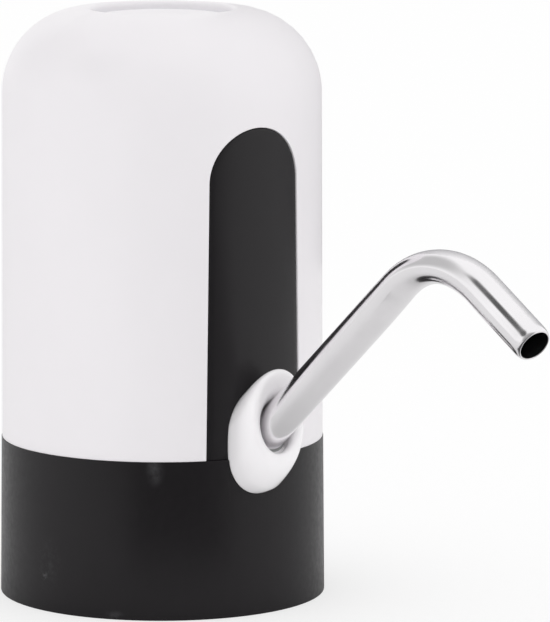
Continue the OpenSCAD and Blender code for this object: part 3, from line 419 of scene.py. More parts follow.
@dataclass(frozen=True)
class GrainedSurface(Finish):
    """Plated, sintered or foamed surface whose grains or cells show as small mottled patches.

    Grains that are really too fine to show are drawn as coarse as they need to be.
    """

    GRAIN_LOW = 0.2
    GRAIN_HIGH = 0.9

    grain_mm: float = 1.2
    grain_colour: str = "#8a8d90"
    grain_share: float = 0.5

    def detail(self, tree: bpy.types.NodeTree, shader: bpy.types.Node, place: bpy.types.NodeSocket) -> None:
        """Adds cells of a second tone.

        Args:
            tree: the material's node tree.
            shader: its shader node.
            place: the object's own coordinates.
        """
        cells = add_node(
            tree,
            "ShaderNodeTexVoronoi",
            links={"Vector": place},
            values={"Scale": per_metre(self.grain_mm)},
        )
        share = add_node(
            tree,
            "ShaderNodeMapRange",
            links={"Value": cells.outputs["Color"]},
            values={
                "From Min": self.GRAIN_LOW,
                "From Max": self.GRAIN_HIGH,
                "To Min": 0.0,
                "To Max": self.grain_share,
            },
        )
        self.over_colour(tree, shader, share.outputs["Result"], self.grain_colour)


@dataclass(frozen=True)
class BandedSurface(Finish):
    """Surface with even bands along one axis: wound wire, printed tracks or grinding marks.

    Wire, tracks and grinding marks are finer on the real thing, and are drawn coarser here so that they show.
    """

    # The wave pattern takes its coordinate times this as an angle, and a band is one full turn of it.
    WAVE_FACTOR = 20.0
    BAND_EDGE = 0.55

    band_mm: float = 3.0
    band_axis: str = "Z"
    band_colour: str = "#5a2c12"
    band_share: float = 0.6
    band_relief_mm: float = 0.03
    waviness: float = 0.0

    def detail(self, tree: bpy.types.NodeTree, shader: bpy.types.Node, place: bpy.types.NodeSocket) -> None:
        """Adds the bands as colour and relief.

        Args:
            tree: the material's node tree.
            shader: its shader node.
            place: the object's own coordinates.
        """
        bands = add_node(
            tree,
            "ShaderNodeTexWave",
            links={"Vector": place},
            values={
                "Scale": 2 * math.pi * per_metre(self.band_mm) / self.WAVE_FACTOR,
                "Distortion": self.waviness,
                "Detail": 1.0,
            },
            wave_type="BANDS",
            bands_direction=self.band_axis,
        )
        share = add_node(
            tree,
            "ShaderNodeMapRange",
            links={"Value": bands.outputs["Fac"]},
            values={"From Min": self.BAND_EDGE, "From Max": 0.0, "To Min": 0.0, "To Max": self.band_share},
        )
        self.over_colour(tree, shader, share.outputs["Result"], self.band_colour)
        relief = add_node(
            tree,
            "ShaderNodeBump",
            links={"Height": bands.outputs["Fac"]},
            values={"Strength": 1.0, "Distance": self.band_relief_mm * MM},
        )
        tree.links.new(relief.outputs["Normal"], shader.inputs["Normal"])


# Rub marks on the base: below the seam, a spot low on the side with a haze round it, and at the foot.
RUBS = (
    Mark(centre=(28.9, -23.4, 34.4), spread=(2.6, 2.6, 4.6), grain_mm=7.0, strength=0.16, threshold=0.35),
    Mark(centre=(5.2, -37.1, 8.2), spread=(1.2, 1.2, 1.5), grain_mm=0.9, strength=0.3, threshold=0.45),
    Mark(centre=(6.4, -36.9, 11.0), spread=(5.0, 4.0, 8.5), grain_mm=1.1, strength=0.05, threshold=0.45),
    Mark(centre=(22.4, -30.0, 1.0), spread=(3.0, 3.0, 1.6), grain_mm=2.0, strength=0.1, threshold=0.45),
)

FINISHES: dict[str, Finish] = {
    # Moulded white ABS: an even white with a trace of lilac, a slow faint drift of tone and a soft gloss.
    "white_shell": Finish(
        "abs_moulded_white", "#f2eff2", "#ece9ec", 0.34, ior=1.53, drift_mm=38.0, grit_mm=2.4,
        gloss_spread=0.05, relief_mm=0.006,
    ),
    # Polished white ABS: brighter and glossier than the shell; part of the brightness is painted light that lifts
    # the shade the boss gets beside the black base and panel.
    "white_boss": Finish(
        "abs_polished_white", "#fdfbfd", "#f9f7f9", 0.2, ior=1.53, drift_mm=20.0, grit_mm=2.0,
        gloss_spread=0.04, relief_mm=0.004,
    ),
    # Satin white ABS of the button: a little duller than the shell, so finger marks don't show.
    "button_white": Finish(
        "abs_satin_white", "#f3f0f3", "#edeaed", 0.42, ior=1.53, drift_mm=16.0, grit_mm=0.5,
        relief_mm=0.012,
    ),
    # Satin black ABS: nearly black, with a broad soft sheen and pale rub marks.
    "black_body": HandledPlastic(
        "abs_moulded_black", "#131013", "#1b181b", 0.36, ior=1.53, specular=0.27, drift_mm=24.0, grit_mm=1.4,
        gloss_spread=0.07, relief_mm=0.008, marks=RUBS,
    ),
    # Black ABS of the front panel, from a smoother mould: the same black with a little more sheen.
    "black_panel": Finish(
        "abs_smooth_black", "#131013", "#1b181b", 0.36, ior=1.53, specular=0.36, drift_mm=24.0, grit_mm=1.4,
        gloss_spread=0.05, relief_mm=0.006,
    ),
    # Frosted acrylic: a dull, faintly blue white that lets a little light through.
    "light_ring": Finish(
        "acrylic_frosted", "#f5f8fa", "#edf2f6", 0.45, ior=1.49, transmission=0.1, drift_mm=10.0,
        grit_mm=0.4, relief_mm=0.01,
    ),
    # Drawn and polished stainless steel: bright, with faint lines along the tube and a cloudy gloss.
    "stainless": DrawnSteel(
        "stainless_drawn_polished", "#f8f6f8", "#f0eef0", 0.13, metallic=1.0, drift_mm=9.0,
        gloss_spread=0.06,
    ),
    # Moulded silicone: a soft milky grey that lets a little light in under its surface.
    "silicone": Finish(
        "silicone_moulded_milky", "#b9bbbb", "#aeb0b0", 0.5, ior=1.41, subsurface=0.05, drift_mm=8.0,
        grit_mm=0.5, relief_mm=0.01,
    ),
    # Moulded rubber: black, dull and slightly dusty.
    "black_rubber": Finish(
        "rubber_moulded_black", "#1f1f20", "#2b2b2c", 0.7, ior=1.52, drift_mm=5.0, grit_mm=0.4,
        relief_mm=0.015,
    ),
    # Natural ABS of the inner frame, straight from the mould: a dull, faintly yellow white.
    "frame_plastic": Finish(
        "abs_moulded_natural", "#dcdcd4", "#d2d2c9", 0.5, ior=1.53, drift_mm=18.0, grit_mm=0.8,
        relief_mm=0.012,
    ),
    # Moulded acetal: a waxy off-white with a soft sheen.
    "pump_plastic": Finish(
        "acetal_moulded", "#e9e8df", "#dfded3", 0.38, ior=1.48, subsurface=0.1, drift_mm=9.0, grit_mm=0.5,
        relief_mm=0.008,
    ),
    # Zinc-plated drawn steel: bright, with small spangles.
    "motor_steel": GrainedSurface(
        "steel_zinc_plated", "#b4b6b8", "#a5a8ab", 0.3, metallic=1.0, drift_mm=7.0, grain_mm=1.5,
    ),
    # Ground steel of shafts and the charging socket: bright, with faint level bands.
    "shaft_steel": BandedSurface(
        "steel_ground", "#c6c7c9", "#b7b9bb", 0.22, metallic=1.0, drift_mm=5.0, band_mm=2.51,
        band_colour="#a3a5a8", band_share=0.4, band_relief_mm=0.002,
    ),
    # Sintered ferrite: dark grey, dull and fine-grained.
    "ferrite": GrainedSurface(
        "ferrite_sintered", "#3b3b3d", "#303032", 0.62, metallic=0.2, drift_mm=4.0, grain_mm=0.5,
        grain_colour="#4b4b4e",
    ),
    # Enamelled copper wire, wound in layers: warm orange with a darker band between the turns.
    "copper": BandedSurface(
        "copper_wire_enamelled", "#b4622c", "#9f5222", 0.3, metallic=1.0, drift_mm=4.0, band_mm=2.83,
        band_relief_mm=0.06,
    ),
    # Sintered bronze, oily and porous: a dull gold with darker pores.
    "bronze": GrainedSurface(
        "bronze_sintered", "#a67c3d", "#916a31", 0.45, metallic=1.0, drift_mm=3.0, grain_mm=0.4,
        grain_colour="#6f5023",
    ),
    # Tinned brass strip: pale gold with small darker patches.
    "contact_metal": GrainedSurface(
        "brass_tinned", "#cfc39a", "#c2b583", 0.28, metallic=1.0, drift_mm=3.0, grain_mm=0.8,
        grain_colour="#b6aa80", grain_share=0.4,
    ),
    # Shrink sleeve of the cell: a glossy blue film with slight ripples.
    "cell_wrap": Finish(
        "sleeve_shrunk_blue", "#3f6fa8", "#375f94", 0.22, ior=1.54, coat=0.2, drift_mm=12.0, grit_mm=3.0,
        relief_mm=0.03,
    ),
    # Closed-cell foam: dull dark grey with fine paler cells.
    "foam": GrainedSurface(
        "foam_closed_cell", "#3d3d3e", "#333334", 0.9, drift_mm=4.0, grain_mm=0.7, grain_colour="#59595a",
        relief_mm=0.08,
    ),
    # Glass-epoxy board with green mask over copper tracks: glossy green with paler, wavy bands.
    "board": BandedSurface(
        "board_glass_epoxy", "#2f6b3c", "#285d34", 0.32, drift_mm=9.0, band_mm=8.17, band_axis="Y",
        band_colour="#4c8a55", band_share=0.55, band_relief_mm=0.02, waviness=1.5,
    ),
    # Moulded epoxy of chips and of the switch: a dull charcoal.
    "black_part": Finish(
        "epoxy_moulded_black", "#26282b", "#2f3134", 0.55, drift_mm=3.0, grit_mm=0.3, relief_mm=0.012,
    ),
    # Moulded nylon of the switch's plunger: amber with a soft gloss.
    "amber_part": Finish(
        "nylon_amber", "#d9a441", "#c99436", 0.35, ior=1.53, drift_mm=2.0, grit_mm=0.3, relief_mm=0.006,
    ),
    # Clear epoxy of the lamps: half clear and glossy, with a trace of blue.
    "lamp": Finish(
        "epoxy_clear", "#eef6ff", "#e0edfa", 0.12, ior=1.55, transmission=0.5, drift_mm=2.0, grit_mm=0.4,
        relief_mm=0.004,
    ),
    # Zinc-plated screws: a greyer metal with small darker patches.
    "screw_steel": GrainedSurface(
        "steel_screw_plated", "#9b9ea3", "#8b8e94", 0.34, metallic=1.0, drift_mm=3.0, grain_mm=0.7,
        grain_colour="#777a80",
    ),
    # Extruded PVC insulation in three colours, each even with a soft gloss.
    "lead_red": Finish("pvc_extruded_red", "#b8302a", "#a82820", 0.4, drift_mm=6.0, grit_mm=0.5),
    "lead_black": Finish("pvc_extruded_black", "#222223", "#2c2c2d", 0.42, drift_mm=6.0, grit_mm=0.5),
    "lead_white": Finish("pvc_extruded_white", "#e4e4e2", "#d9d9d6", 0.42, drift_mm=6.0, grit_mm=0.5),
}


class MeshDraft:
    """Gathers patches of quads and welds them into one closed mesh."""

    MAP = "along"

    def __init__(self, name: str) -> None:
        """Starts an empty mesh.

        Args:
            name: the piece's name.
        """
        self.name = name
        self.mesh = bmesh.new()
        self.map = self.mesh.loops.layers.uv.new(self.MAP)

    def patch(
        self,
        rows: Sequence[Sequence[Point]],
        ring: bool = False,
        loop: bool = False,
        chart: Callable[[int, int], Spot] | None = None,
    ) -> None:
        """Adds quads between rows of points.

        Args:
            rows: rows of points in millimetres, all of one length.
            ring: whether each row closes on itself.
            loop: whether the last row joins the first.
            chart: the map position of a row and column, where the finish needs one.
        """
        grid = [[self.mesh.verts.new(Vector(p) * MM) for p in row] for row in rows]
        wide = len(grid[0])
        for i in range(len(grid) - (0 if loop else 1)):
            low, high = grid[i], grid[(i + 1) % len(grid)]
            for k in range(wide - (0 if ring else 1)):
                after = (k + 1) % wide
                face = self.mesh.faces.new((low[k], low[after], high[after], high[k]))
                if chart:
                    corners = ((i, k), (i, k + 1), (i + 1, k + 1), (i + 1, k))
                    for corner, place in zip(face.loops, corners):
                        corner[self.map].uv = chart(*place)

    def build(self) -> bpy.types.Object:
        """Welds the patches, closes flat ends and makes the object.

        Returns:
            The new object, smooth shaded with its sharp edges marked.
        """
        bmesh.ops.remove_doubles(self.mesh, verts=self.mesh.verts, dist=WELD)
        rims = [edge for edge in self.mesh.edges if edge.is_boundary]
        if rims:
            bmesh.ops.holes_fill(self.mesh, edges=rims, sides=0)
        bmesh.ops.recalc_face_normals(self.mesh, faces=self.mesh.faces)
        data = bpy.data.meshes.new(self.name)
        self.mesh.to_mesh(data)
        self.mesh.free()
        piece = bpy.data.objects.new(self.name, data)
        bpy.context.scene.collection.objects.link(piece)
        shade(piece)
        return piece

    @classmethod
    def lofted(
        cls,
        name: str,
        rows: Sequence[Sequence[Point]],
        ring: bool = False,
        loop: bool = False,
        chart: Callable[[int, int], Spot] | None = None,
    ) -> bpy.types.Object:
        """Makes an object of one patch.

        Args:
            name: the object's name.
            rows: rows of points in millimetres, all of one length.
            ring: whether each row closes on itself.
            loop: whether the last row joins the first.
            chart: the map position of a row and column, where the finish needs one.

        Returns:
            The new object.
        """
        draft = cls(name)
        draft.patch(rows, ring, loop, chart)
        return draft.build()

    @classmethod
    def turned(
        cls, name: str, outline: Sequence[Spot], sides: int, centre: Spot = (0.0, 0.0)
    ) -> bpy.types.Object:
        """Spins a closed outline of radius and height about an upright axis.

        Args:
            name: the object's name.
            outline: radius and height of each point, in order round the section.
            sides: number of sides.
            centre: where the axis stands.

        Returns:
            The new object.
        """
        x, y = centre
        turns = full_turn(sides)
        rows = [[(x + r * math.cos(a), y + r * math.sin(a), z) for a in turns] for r, z in outline]
        return cls.lofted(name, rows, ring=True, loop=True)


def full_turn(sides: int) -> list[float]:
    """Gives the angles of a ring's points."""
    return [2 * math.pi * k / sides for k in range(sides)]


def corner_curve(start: Vector, bend: Vector, end: Vector, steps: int) -> list[Vector]:
    """Gives points along a smooth corner between two lines.

    Args:
        start: where the corner starts.
        bend: where the two lines would meet.
        end: where the corner ends.
        steps: number of steps.

    Returns:
        The points from start to end.
    """
    shares = [k / steps for k in range(steps + 1)]
    return [start * (1 - t) ** 2 + bend * 2 * t * (1 - t) + end * t**2 for t in shares]


def shade(piece: bpy.types.Object) -> None:
    """Shades a piece smooth and marks its sharp edges."""
    piece.data.shade_smooth()
    piece.data.set_sharp_from_angle(angle=math.radians(SHARP_DEG))


def carve(piece: bpy.types.Object, tool: bpy.types.Object, way: Cut) -> None:
    """Joins a tool mesh with a piece, or takes it away, and removes the tool.

    Args:
        piece: the piece that changes.
        tool: the mesh that cuts it or joins it.
        way: whether the tool is taken away or joined.
    """
    change = piece.modifiers.new("carve", "BOOLEAN")
    change.operation = way.value
    change.object = tool
    change.solver = "EXACT"
    bpy.context.view_layer.update()
    seen = piece.evaluated_get(bpy.context.evaluated_depsgraph_get())
    data = bpy.data.meshes.new_from_object(seen)
    piece.modifiers.clear()
    old, piece.data = piece.data, data
    bpy.data.meshes.remove(old)
    bpy.data.objects.remove(tool)
    data.name = piece.name
    shade(piece)


def rounded(corners: Sequence[Point], steps: int = 5) -> list[Spot]:
    """Rounds the corners of a closed outline.

    Args:
        corners: radius, height and rounding of each corner.
        steps: points along each rounding.

    Returns:
        The outline's points in the same order.
    """
    outline: list[Spot] = []
    count = len(corners)
    for i, (r, z, size) in enumerate(corners):
        here = Vector((r, z))
        if size <= 0:
            outline.append((r, z))
            continue
        before = Vector(corners[i - 1][:2]) - here
        after = Vector(corners[(i + 1) % count][:2]) - here
        start = here + before.normalized() * size
        end = here + after.normalized() * size
        outline += [(spot.x, spot.y) for spot in corner_curve(start, here, end, steps)]
    return outline


def arc(centre: Spot, size: float, start_deg: float, end_deg: float, steps: int) -> list[Spot]:
    """Gives points along an arc.

    Args:
        centre: the arc's centre.
        size: its radius.
        start_deg: angle of its first point.
        end_deg: angle of its last point.
        steps: number of steps between them.

    Returns:
        The points from first to last.
    """
    turns = [math.radians(start_deg + (end_deg - start_deg) * k / steps) for k in range(steps + 1)]
    return [(centre[0] + size * math.cos(a), centre[1] + size * math.sin(a)) for a in turns]


@dataclass
class Placer:
    """Sets finished pieces on their bodies and gives them their finish."""

    materials: dict[str, bpy.types.Material]

    def put(
        self, piece: bpy.types.Object, body: Ride, slot: str, stands_for: str, finish: str = ""
    ) -> None:
        """Places one piece.

        Args:
            piece: the piece, already where it belongs.
            body: the body it rides on.
            slot: the record's material slot.
            stands_for: the solid that it replaces.
            finish: the finish's name, where it isn't the slot's own.
        """
        piece.data.materials.clear()
        piece.data.materials.append(self.materials[finish or slot])
        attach(piece, body.value)
        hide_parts(stands_for)
        log.info("%s on %s: %d faces", piece.name, body.value, len(piece.data.polygons))

    def dress_solids(self) -> None:
        """Gives every solid of the frame the finish of its slot."""
        for row in frame["record"]["subparts"]:
            solid = frame["nodes"][row["node"]]
            solid.data.materials.clear()
            solid.data.materials.append(self.materials[row["material_slot"]])


def low_mm(node: str) -> Vector:
    """Gives a solid's lowest corner in millimetres."""
    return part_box(node)[0] / MM


def high_mm(node: str) -> Vector:
    """Gives a solid's highest corner in millimetres."""
    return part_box(node)[1] / MM


def joint(name: str) -> dict:
    """Gives a joint of the frame by name."""
    return next(row for row in frame["joints"] if row["name"] == name)


def mount(name: str) -> dict:
    """Gives a mount of the frame's record by name."""
    return next(row for row in frame["record"]["mounts"] if row["name"] == name)


@dataclass
class SpoutLine:
    """The spout's centre line: where it meets the shell, its bend and its outlet."""

    root: Vector
    rise: Vector
    outlet_mid: Vector
    fall: Vector
    tube_r: float
    outlet_len: float
    bend_r: float = 25.0

    @classmethod
    def from_frame(cls) -> "SpoutLine":
        """Reads the line off the swivel joint and the outlet mount.

        Returns:
            The spout's line in millimetres.
        """
        swivel = joint("spout_swivel")
        outlet = mount("spout_outlet")
        return cls(
            root=Vector(swivel["pos_m"]) / MM,
            rise=Vector(swivel["axis"]).normalized(),
            outlet_mid=Vector(outlet["pos_m"]) / MM,
            fall=Vector(outlet["axis"]).normalized(),
            tube_r=outlet["dims"]["r_mm"],
            outlet_len=outlet["dims"]["length_mm"],
        )

    @property
    def lift(self) -> Vector:
        """Direction square to the lower leg in the spout's plane, upwards."""
        return Vector((-self.rise.z, 0.0, self.rise.x))

    def corner(self) -> Vector:
        """Finds where the two legs' lines meet.

        Returns:
            The point in millimetres.
        """
        gap = self.outlet_mid - self.root
        across = self.rise.x * self.fall.z - self.rise.z * self.fall.x
        along = (gap.x * self.fall.z - gap.z * self.fall.x) / across
        return self.root + self.rise * along

    def off_axis(self, out: float, side: float, along: float) -> Point:
        """Gives a point beside the lower leg's line.

        Args:
            out: distance upwards from the line, in the spout's plane.
            side: distance along +Y.
            along: distance along the line from its root.

        Returns:
            The point in millimetres.
        """
        spot = self.root + self.lift * out + Vector((0.0, side, 0.0)) + self.rise * along
        return spot.x, spot.y, spot.z


@dataclass
class Shell:
    """White domed shell with the arched slot in front, the well in its crown and the socket's window."""

    seam_z: float
    top_z: float
    foot_r: float
    draft: float = 0.4
    shoulder_r: float = 19.2
    wall: float = 1.4
    edge: float = 0.12
    slot_half: float = 12.3
    slot_flare: float = 0.9
    slot_top: float = 110.8
    slot_edge: float = 0.22
    well_r: float = 16.3
    well_depth: float = 9.0
    collar_wall: float = 1.8
    rim_round: float = 1.2
    crown_r: float = 18.3
    edge_steps: int = 4
    side_steps: int = 30
    dome_steps: int = 22
    arch_steps: int = 44
    back_steps: int = 110
    front_steps: int = 18
    front_ease: float = 1.4
    roll_steps: int = 4
    rim_steps: int = 8
    window: Spot = (8.2, 3.3)
    window_corner: float = 0.8
    window_flare: float = 0.45
    window_start: float = 0.1
    window_sink: float = 0.5
    window_reach: float = 3.0

    @property
    def shoulder_z(self) -> float:
        """Height where the dome starts."""
        return self.top_z - self.shoulder_r

    @property
    def dome_r(self) -> float:
        """Radius of the shell where the dome starts."""
        return self.foot_r - self.draft

    @property
    def arch_z(self) -> float:
        """Height of the centre of the slot's arch."""
        return self.slot_top - self.slot_half

    @property
    def edge_run(self) -> float:
        """Length of the rounded lower edge."""
        return self.edge * math.pi / 2

    @property
    def side_run(self) -> float:
        """Length of the straight side."""
        return math.hypot(self.draft, self.shoulder_z - self.seam_z - self.edge)

    @property
    def full_run(self) -> float:
        """Length of the outer face from the seam to the crown."""
        crown = math.acos((self.crown_r - self.dome_r + self.shoulder_r) / self.shoulder_r)
        return self.edge_run + self.side_run + crown * self.shoulder_r

    def at(self, run: float) -> tuple[float, float, float, float]:
        """Follows the outer face up its section.

        Args:
            run: distance from the seam along the face.

        Returns:
            Radius, height and the two parts of the outward normal.
        """
        if run < self.edge_run:
            turn = run / self.edge - math.pi / 2
            out, up = math.cos(turn), math.sin(turn)
            return self.foot_r - self.edge * (1 - out), self.seam_z + self.edge * (1 + up), out, up
        run -= self.edge_run
        if run < self.side_run:
            share = run / self.side_run
            height = self.shoulder_z - self.seam_z - self.edge
            slope = self.draft / self.side_run
            return (
                self.foot_r - self.draft * share,
                self.seam_z + self.edge + height * share,
                height / self.side_run,
                slope,
            )
        turn = (run - self.side_run) / self.shoulder_r
        out, up = math.cos(turn), math.sin(turn)
        return (
            self.dome_r - self.shoulder_r * (1 - out),
            self.shoulder_z + self.shoulder_r * up,
            out,
            up,
        )

    def run_at(self, z: float) -> float:
        """Gives the run along the face at a height on its straight side."""
        height = self.shoulder_z - self.seam_z - self.edge
        return self.edge_run + (z - self.seam_z - self.edge) / height * self.side_run

    def spot(self, turn: float, run: float, depth: float = 0.0) -> Vector:
        """Gives a point of the shell.

        Args:
            turn: angle about the pump's axis, from +X.
            run: distance up the outer face.
            depth: distance in from the outer face.

        Returns:
            The point in millimetres.
        """
        r, z, _, _ = self.at(run)
        out, up = self.facing(run)
        r -= depth * out
        return Vector((r * math.cos(turn), r * math.sin(turn), z - depth * up))

    def normal(self, turn: float, run: float) -> Vector:
        """Gives the outward normal of the face."""
        out, up = self.facing(run)
        return Vector((out * math.cos(turn), out * math.sin(turn), up))

    def facing(self, run: float) -> Spot:
        """Gives the way the wall faces, which stays level along the rounded lower edge."""
        return (1.0, 0.0) if run < self.edge_run else self.at(run)[2:]

    def side_runs(self, last: float, steps: int) -> list[float]:
        """Gives runs from the seam to a last one, with the rounded edge in its own steps."""
        edge = [self.edge_run * k / self.edge_steps for k in range(self.edge_steps)]
        return edge + [self.edge_run + (last - self.edge_run) * k / steps for k in range(steps + 1)]

    def arch_line(self, half: float) -> list[Spot]:
        """Follows an arch round the slot: up one side, over the top and down the other.

        Args:
            half: half width of the arch, about the slot's own middle.

        Returns:
            Angle and run of each point.
        """
        steps = self.side_steps + self.dome_steps
        up: list[Spot] = []
        for run in self.side_runs(self.run_at(self.arch_z), steps):
            r, z = self.at(run)[:2]
            wide = half + self.slot_flare * (self.arch_z - z) / (self.arch_z - self.seam_z)
            up.append((math.asin(wide / r), run))
        line = list(up)
        for k in range(1, self.arch_steps):
            turn = math.pi * k / self.arch_steps
            run = self.run_at(self.arch_z + half * math.sin(turn))
            line.append((math.asin(half * math.cos(turn) / self.at(run)[0]), run))
        line += [(-turn, run) for turn, run in reversed(up)]
        return line

    def crown_runs(self) -> list[float]:
        """Spaces the rows from the seam to the crown.

        Returns:
            The run of each row.
        """
        side = self.side_runs(self.edge_run + self.side_run, self.side_steps)
        first = side[-1]
        steps = range(1, self.dome_steps + 1)
        return side + [first + (self.full_run - first) * k / self.dome_steps for k in steps]

    def far_line(self) -> list[Spot]:
        """Follows the front half's outer border: up one side, round the crown and down the other.

        Returns:
            Angle and run of each point.
        """
        up = [(math.pi / 2, run) for run in self.crown_runs()]
        over = [
            (math.pi / 2 - math.pi * k / self.arch_steps, self.full_run) for k in range(1, self.arch_steps)
        ]
        return up + over + [(-turn, run) for turn, run in reversed(up)]

    def rolled_rows(
        self,
        lines: tuple[list[Spot], list[Spot], list[Spot]],
        shares: Sequence[float],
        edge: float,
        depth: float,
        thick: float,
    ) -> list[list[Point]]:
        """Follows a plate along the shell's face, with one border rolled over.

        Args:
            lines: angle and run of each point where the rolled border starts, where it points to, and where
                the plate ends on its other side.
            shares: places along the plate, from 1 at its far side to 0 at the border.
            edge: size of the rolled border.
            depth: how far the plate lies below the shell's face.
            thick: the plate's thickness.

        Returns:
            A row over the outer face, the border and the inner face, for each point of the border.
        """
        rolls = [math.radians(90 * k / self.roll_steps) for k in range(1, self.roll_steps + 1)]
        rows = []
        for (turn, run), toward, (turn_far, run_far) in zip(*lines):
            places = [(turn + (turn_far - turn) * s, run + (run_far - run) * s) for s in shares]
            start = self.spot(turn, run, depth)
            normal = self.normal(turn, run)
            way = self.spot(*toward, depth) - start
            way = (way - normal * way.dot(normal)).normalized()
            roll = [start + way * edge * math.sin(a) - normal * edge * (1 - math.cos(a)) for a in rolls]
            row = [self.spot(*place, depth) for place in places] + roll
            row.append(roll[-1] - normal * (thick - edge))
            row += [self.spot(*place, depth + thick) for place in reversed(places)]
            rows.append([tuple(p) for p in row])
        return rows

    def front(self, draft: MeshDraft) -> None:
        """Adds the front half, with the slot's rounded edge and its wall.

        Args:
            draft: the mesh that gets the patch.
        """
        near = self.arch_line(self.slot_half + self.slot_edge)
        lines = (near, self.arch_line(self.slot_half), self.far_line())
        shares = [(k / self.front_steps) ** self.front_ease for k in range(self.front_steps, -1, -1)]
        draft.patch(self.rolled_rows(lines, shares, self.slot_edge, 0.0, self.wall))

    def back(self, draft: MeshDraft) -> None:
        """Adds the plain back half, outside and inside.

        Args:
            draft: the mesh that gets the patches.
        """
        turns = [math.pi / 2 + math.pi * k / self.back_steps for k in range(self.back_steps + 1)]
        for depth in (0.0, self.wall):
            draft.patch([[tuple(self.spot(t, run, depth)) for t in turns] for run in self.crown_runs()])

    def crown(self, draft: MeshDraft) -> None:
        """Adds the rim and the well's collar over the whole round.

        Args:
            draft: the mesh that gets the patch.
        """
        front = [math.pi / 2 - math.pi * k / self.arch_steps for k in range(self.arch_steps)]
        rear = [-math.pi / 2 - math.pi * k / self.back_steps for k in range(self.back_steps)]
        well_low = self.top_z - self.well_depth
        collar_r = self.well_r + self.collar_wall
        rim_centre = (self.well_r + self.rim_round, self.top_z - self.rim_round)
        rim = arc(rim_centre, self.rim_round, 90, 180, self.rim_steps)
        last = self.spot(0.0, self.full_run, self.wall)
        first = self.spot(0.0, self.full_run)
        outline = [(first.x, first.z), *rim, (self.well_r, well_low), (collar_r, well_low), (last.x, last.z)]
        turns = front + rear
        rows = [[(r * math.cos(t), r * math.sin(t), z) for t in turns] for r, z in outline]
        draft.patch(rows, ring=True)

    def window_tool(self, middle_z: float) -> bpy.types.Object:
        """Makes the mesh that cuts the charging socket's window, wider at the outer face.

        Args:
            middle_z: height of the window's middle.

        Returns:
            The cutting mesh.
        """
        rows = []
        face = -self.foot_r
        for x, flare in (
            (face - self.window_reach, self.window_flare),
            (face - self.window_start, self.window_flare),
            (face + self.window_sink, 0.0),
            (face + self.window_reach, 0.0),
        ):
            half_w, half_h = (side / 2 + flare for side in self.window)
            corners = [(half_w, half_h), (-half_w, half_h), (-half_w, -half_h), (half_w, -half_h)]
            outline = rounded([(*c, self.window_corner) for c in corners])
            rows.append([(x, y, middle_z + z) for y, z in outline])
        return MeshDraft.lofted("window_tool", rows, ring=True)

    def build(self, placer: Placer) -> None:
        """Builds the shell and places it.

        Args:
            placer: what sets the piece on its body.
        """
        draft = MeshDraft("shell_skin")
        self.front(draft)
        self.back(draft)
        self.crown(draft)
        piece = draft.build()
        socket_z = (low_mm("usb_shell").z + high_mm("usb_shell").z) / 2
        carve(piece, self.window_tool(socket_z), Cut.TAKE_AWAY)
        placer.put(piece, Ride.HOUSING, "white_shell", "shell")


@dataclass
class FrontPanel:
    """Black arched panel that fills the shell's slot."""

    shell: Shell
    gap: float = 0.15
    sink: float = 0.2
    edge: float = 0.35
    thick: float = 2.6
    face_steps: int = 10

    def build(self, placer: Placer, boss_tool: Callable[[], bpy.types.Object]) -> None:
        """Builds the panel, cuts the boss's way through it and places it.

        Args:
            placer: what sets the piece on its body.
            boss_tool: makes the mesh that cuts the boss's way.
        """
        shell = self.shell
        half = shell.slot_half - self.gap
        flat = shell.arch_line(half - self.edge)
        middle = [(0.0, min(run, shell.run_at(shell.arch_z))) for _, run in flat]
        lines = (flat, shell.arch_line(half), middle)
        shares = [k / self.face_steps for k in range(self.face_steps, -1, -1)]
        rows = shell.rolled_rows(lines, shares, self.edge, self.sink, self.thick)
        piece = MeshDraft.lofted("front_panel_skin", rows)
        carve(piece, boss_tool(), Cut.TAKE_AWAY)
        placer.put(piece, Ride.HOUSING, "black_body", "front_panel", finish="black_panel")


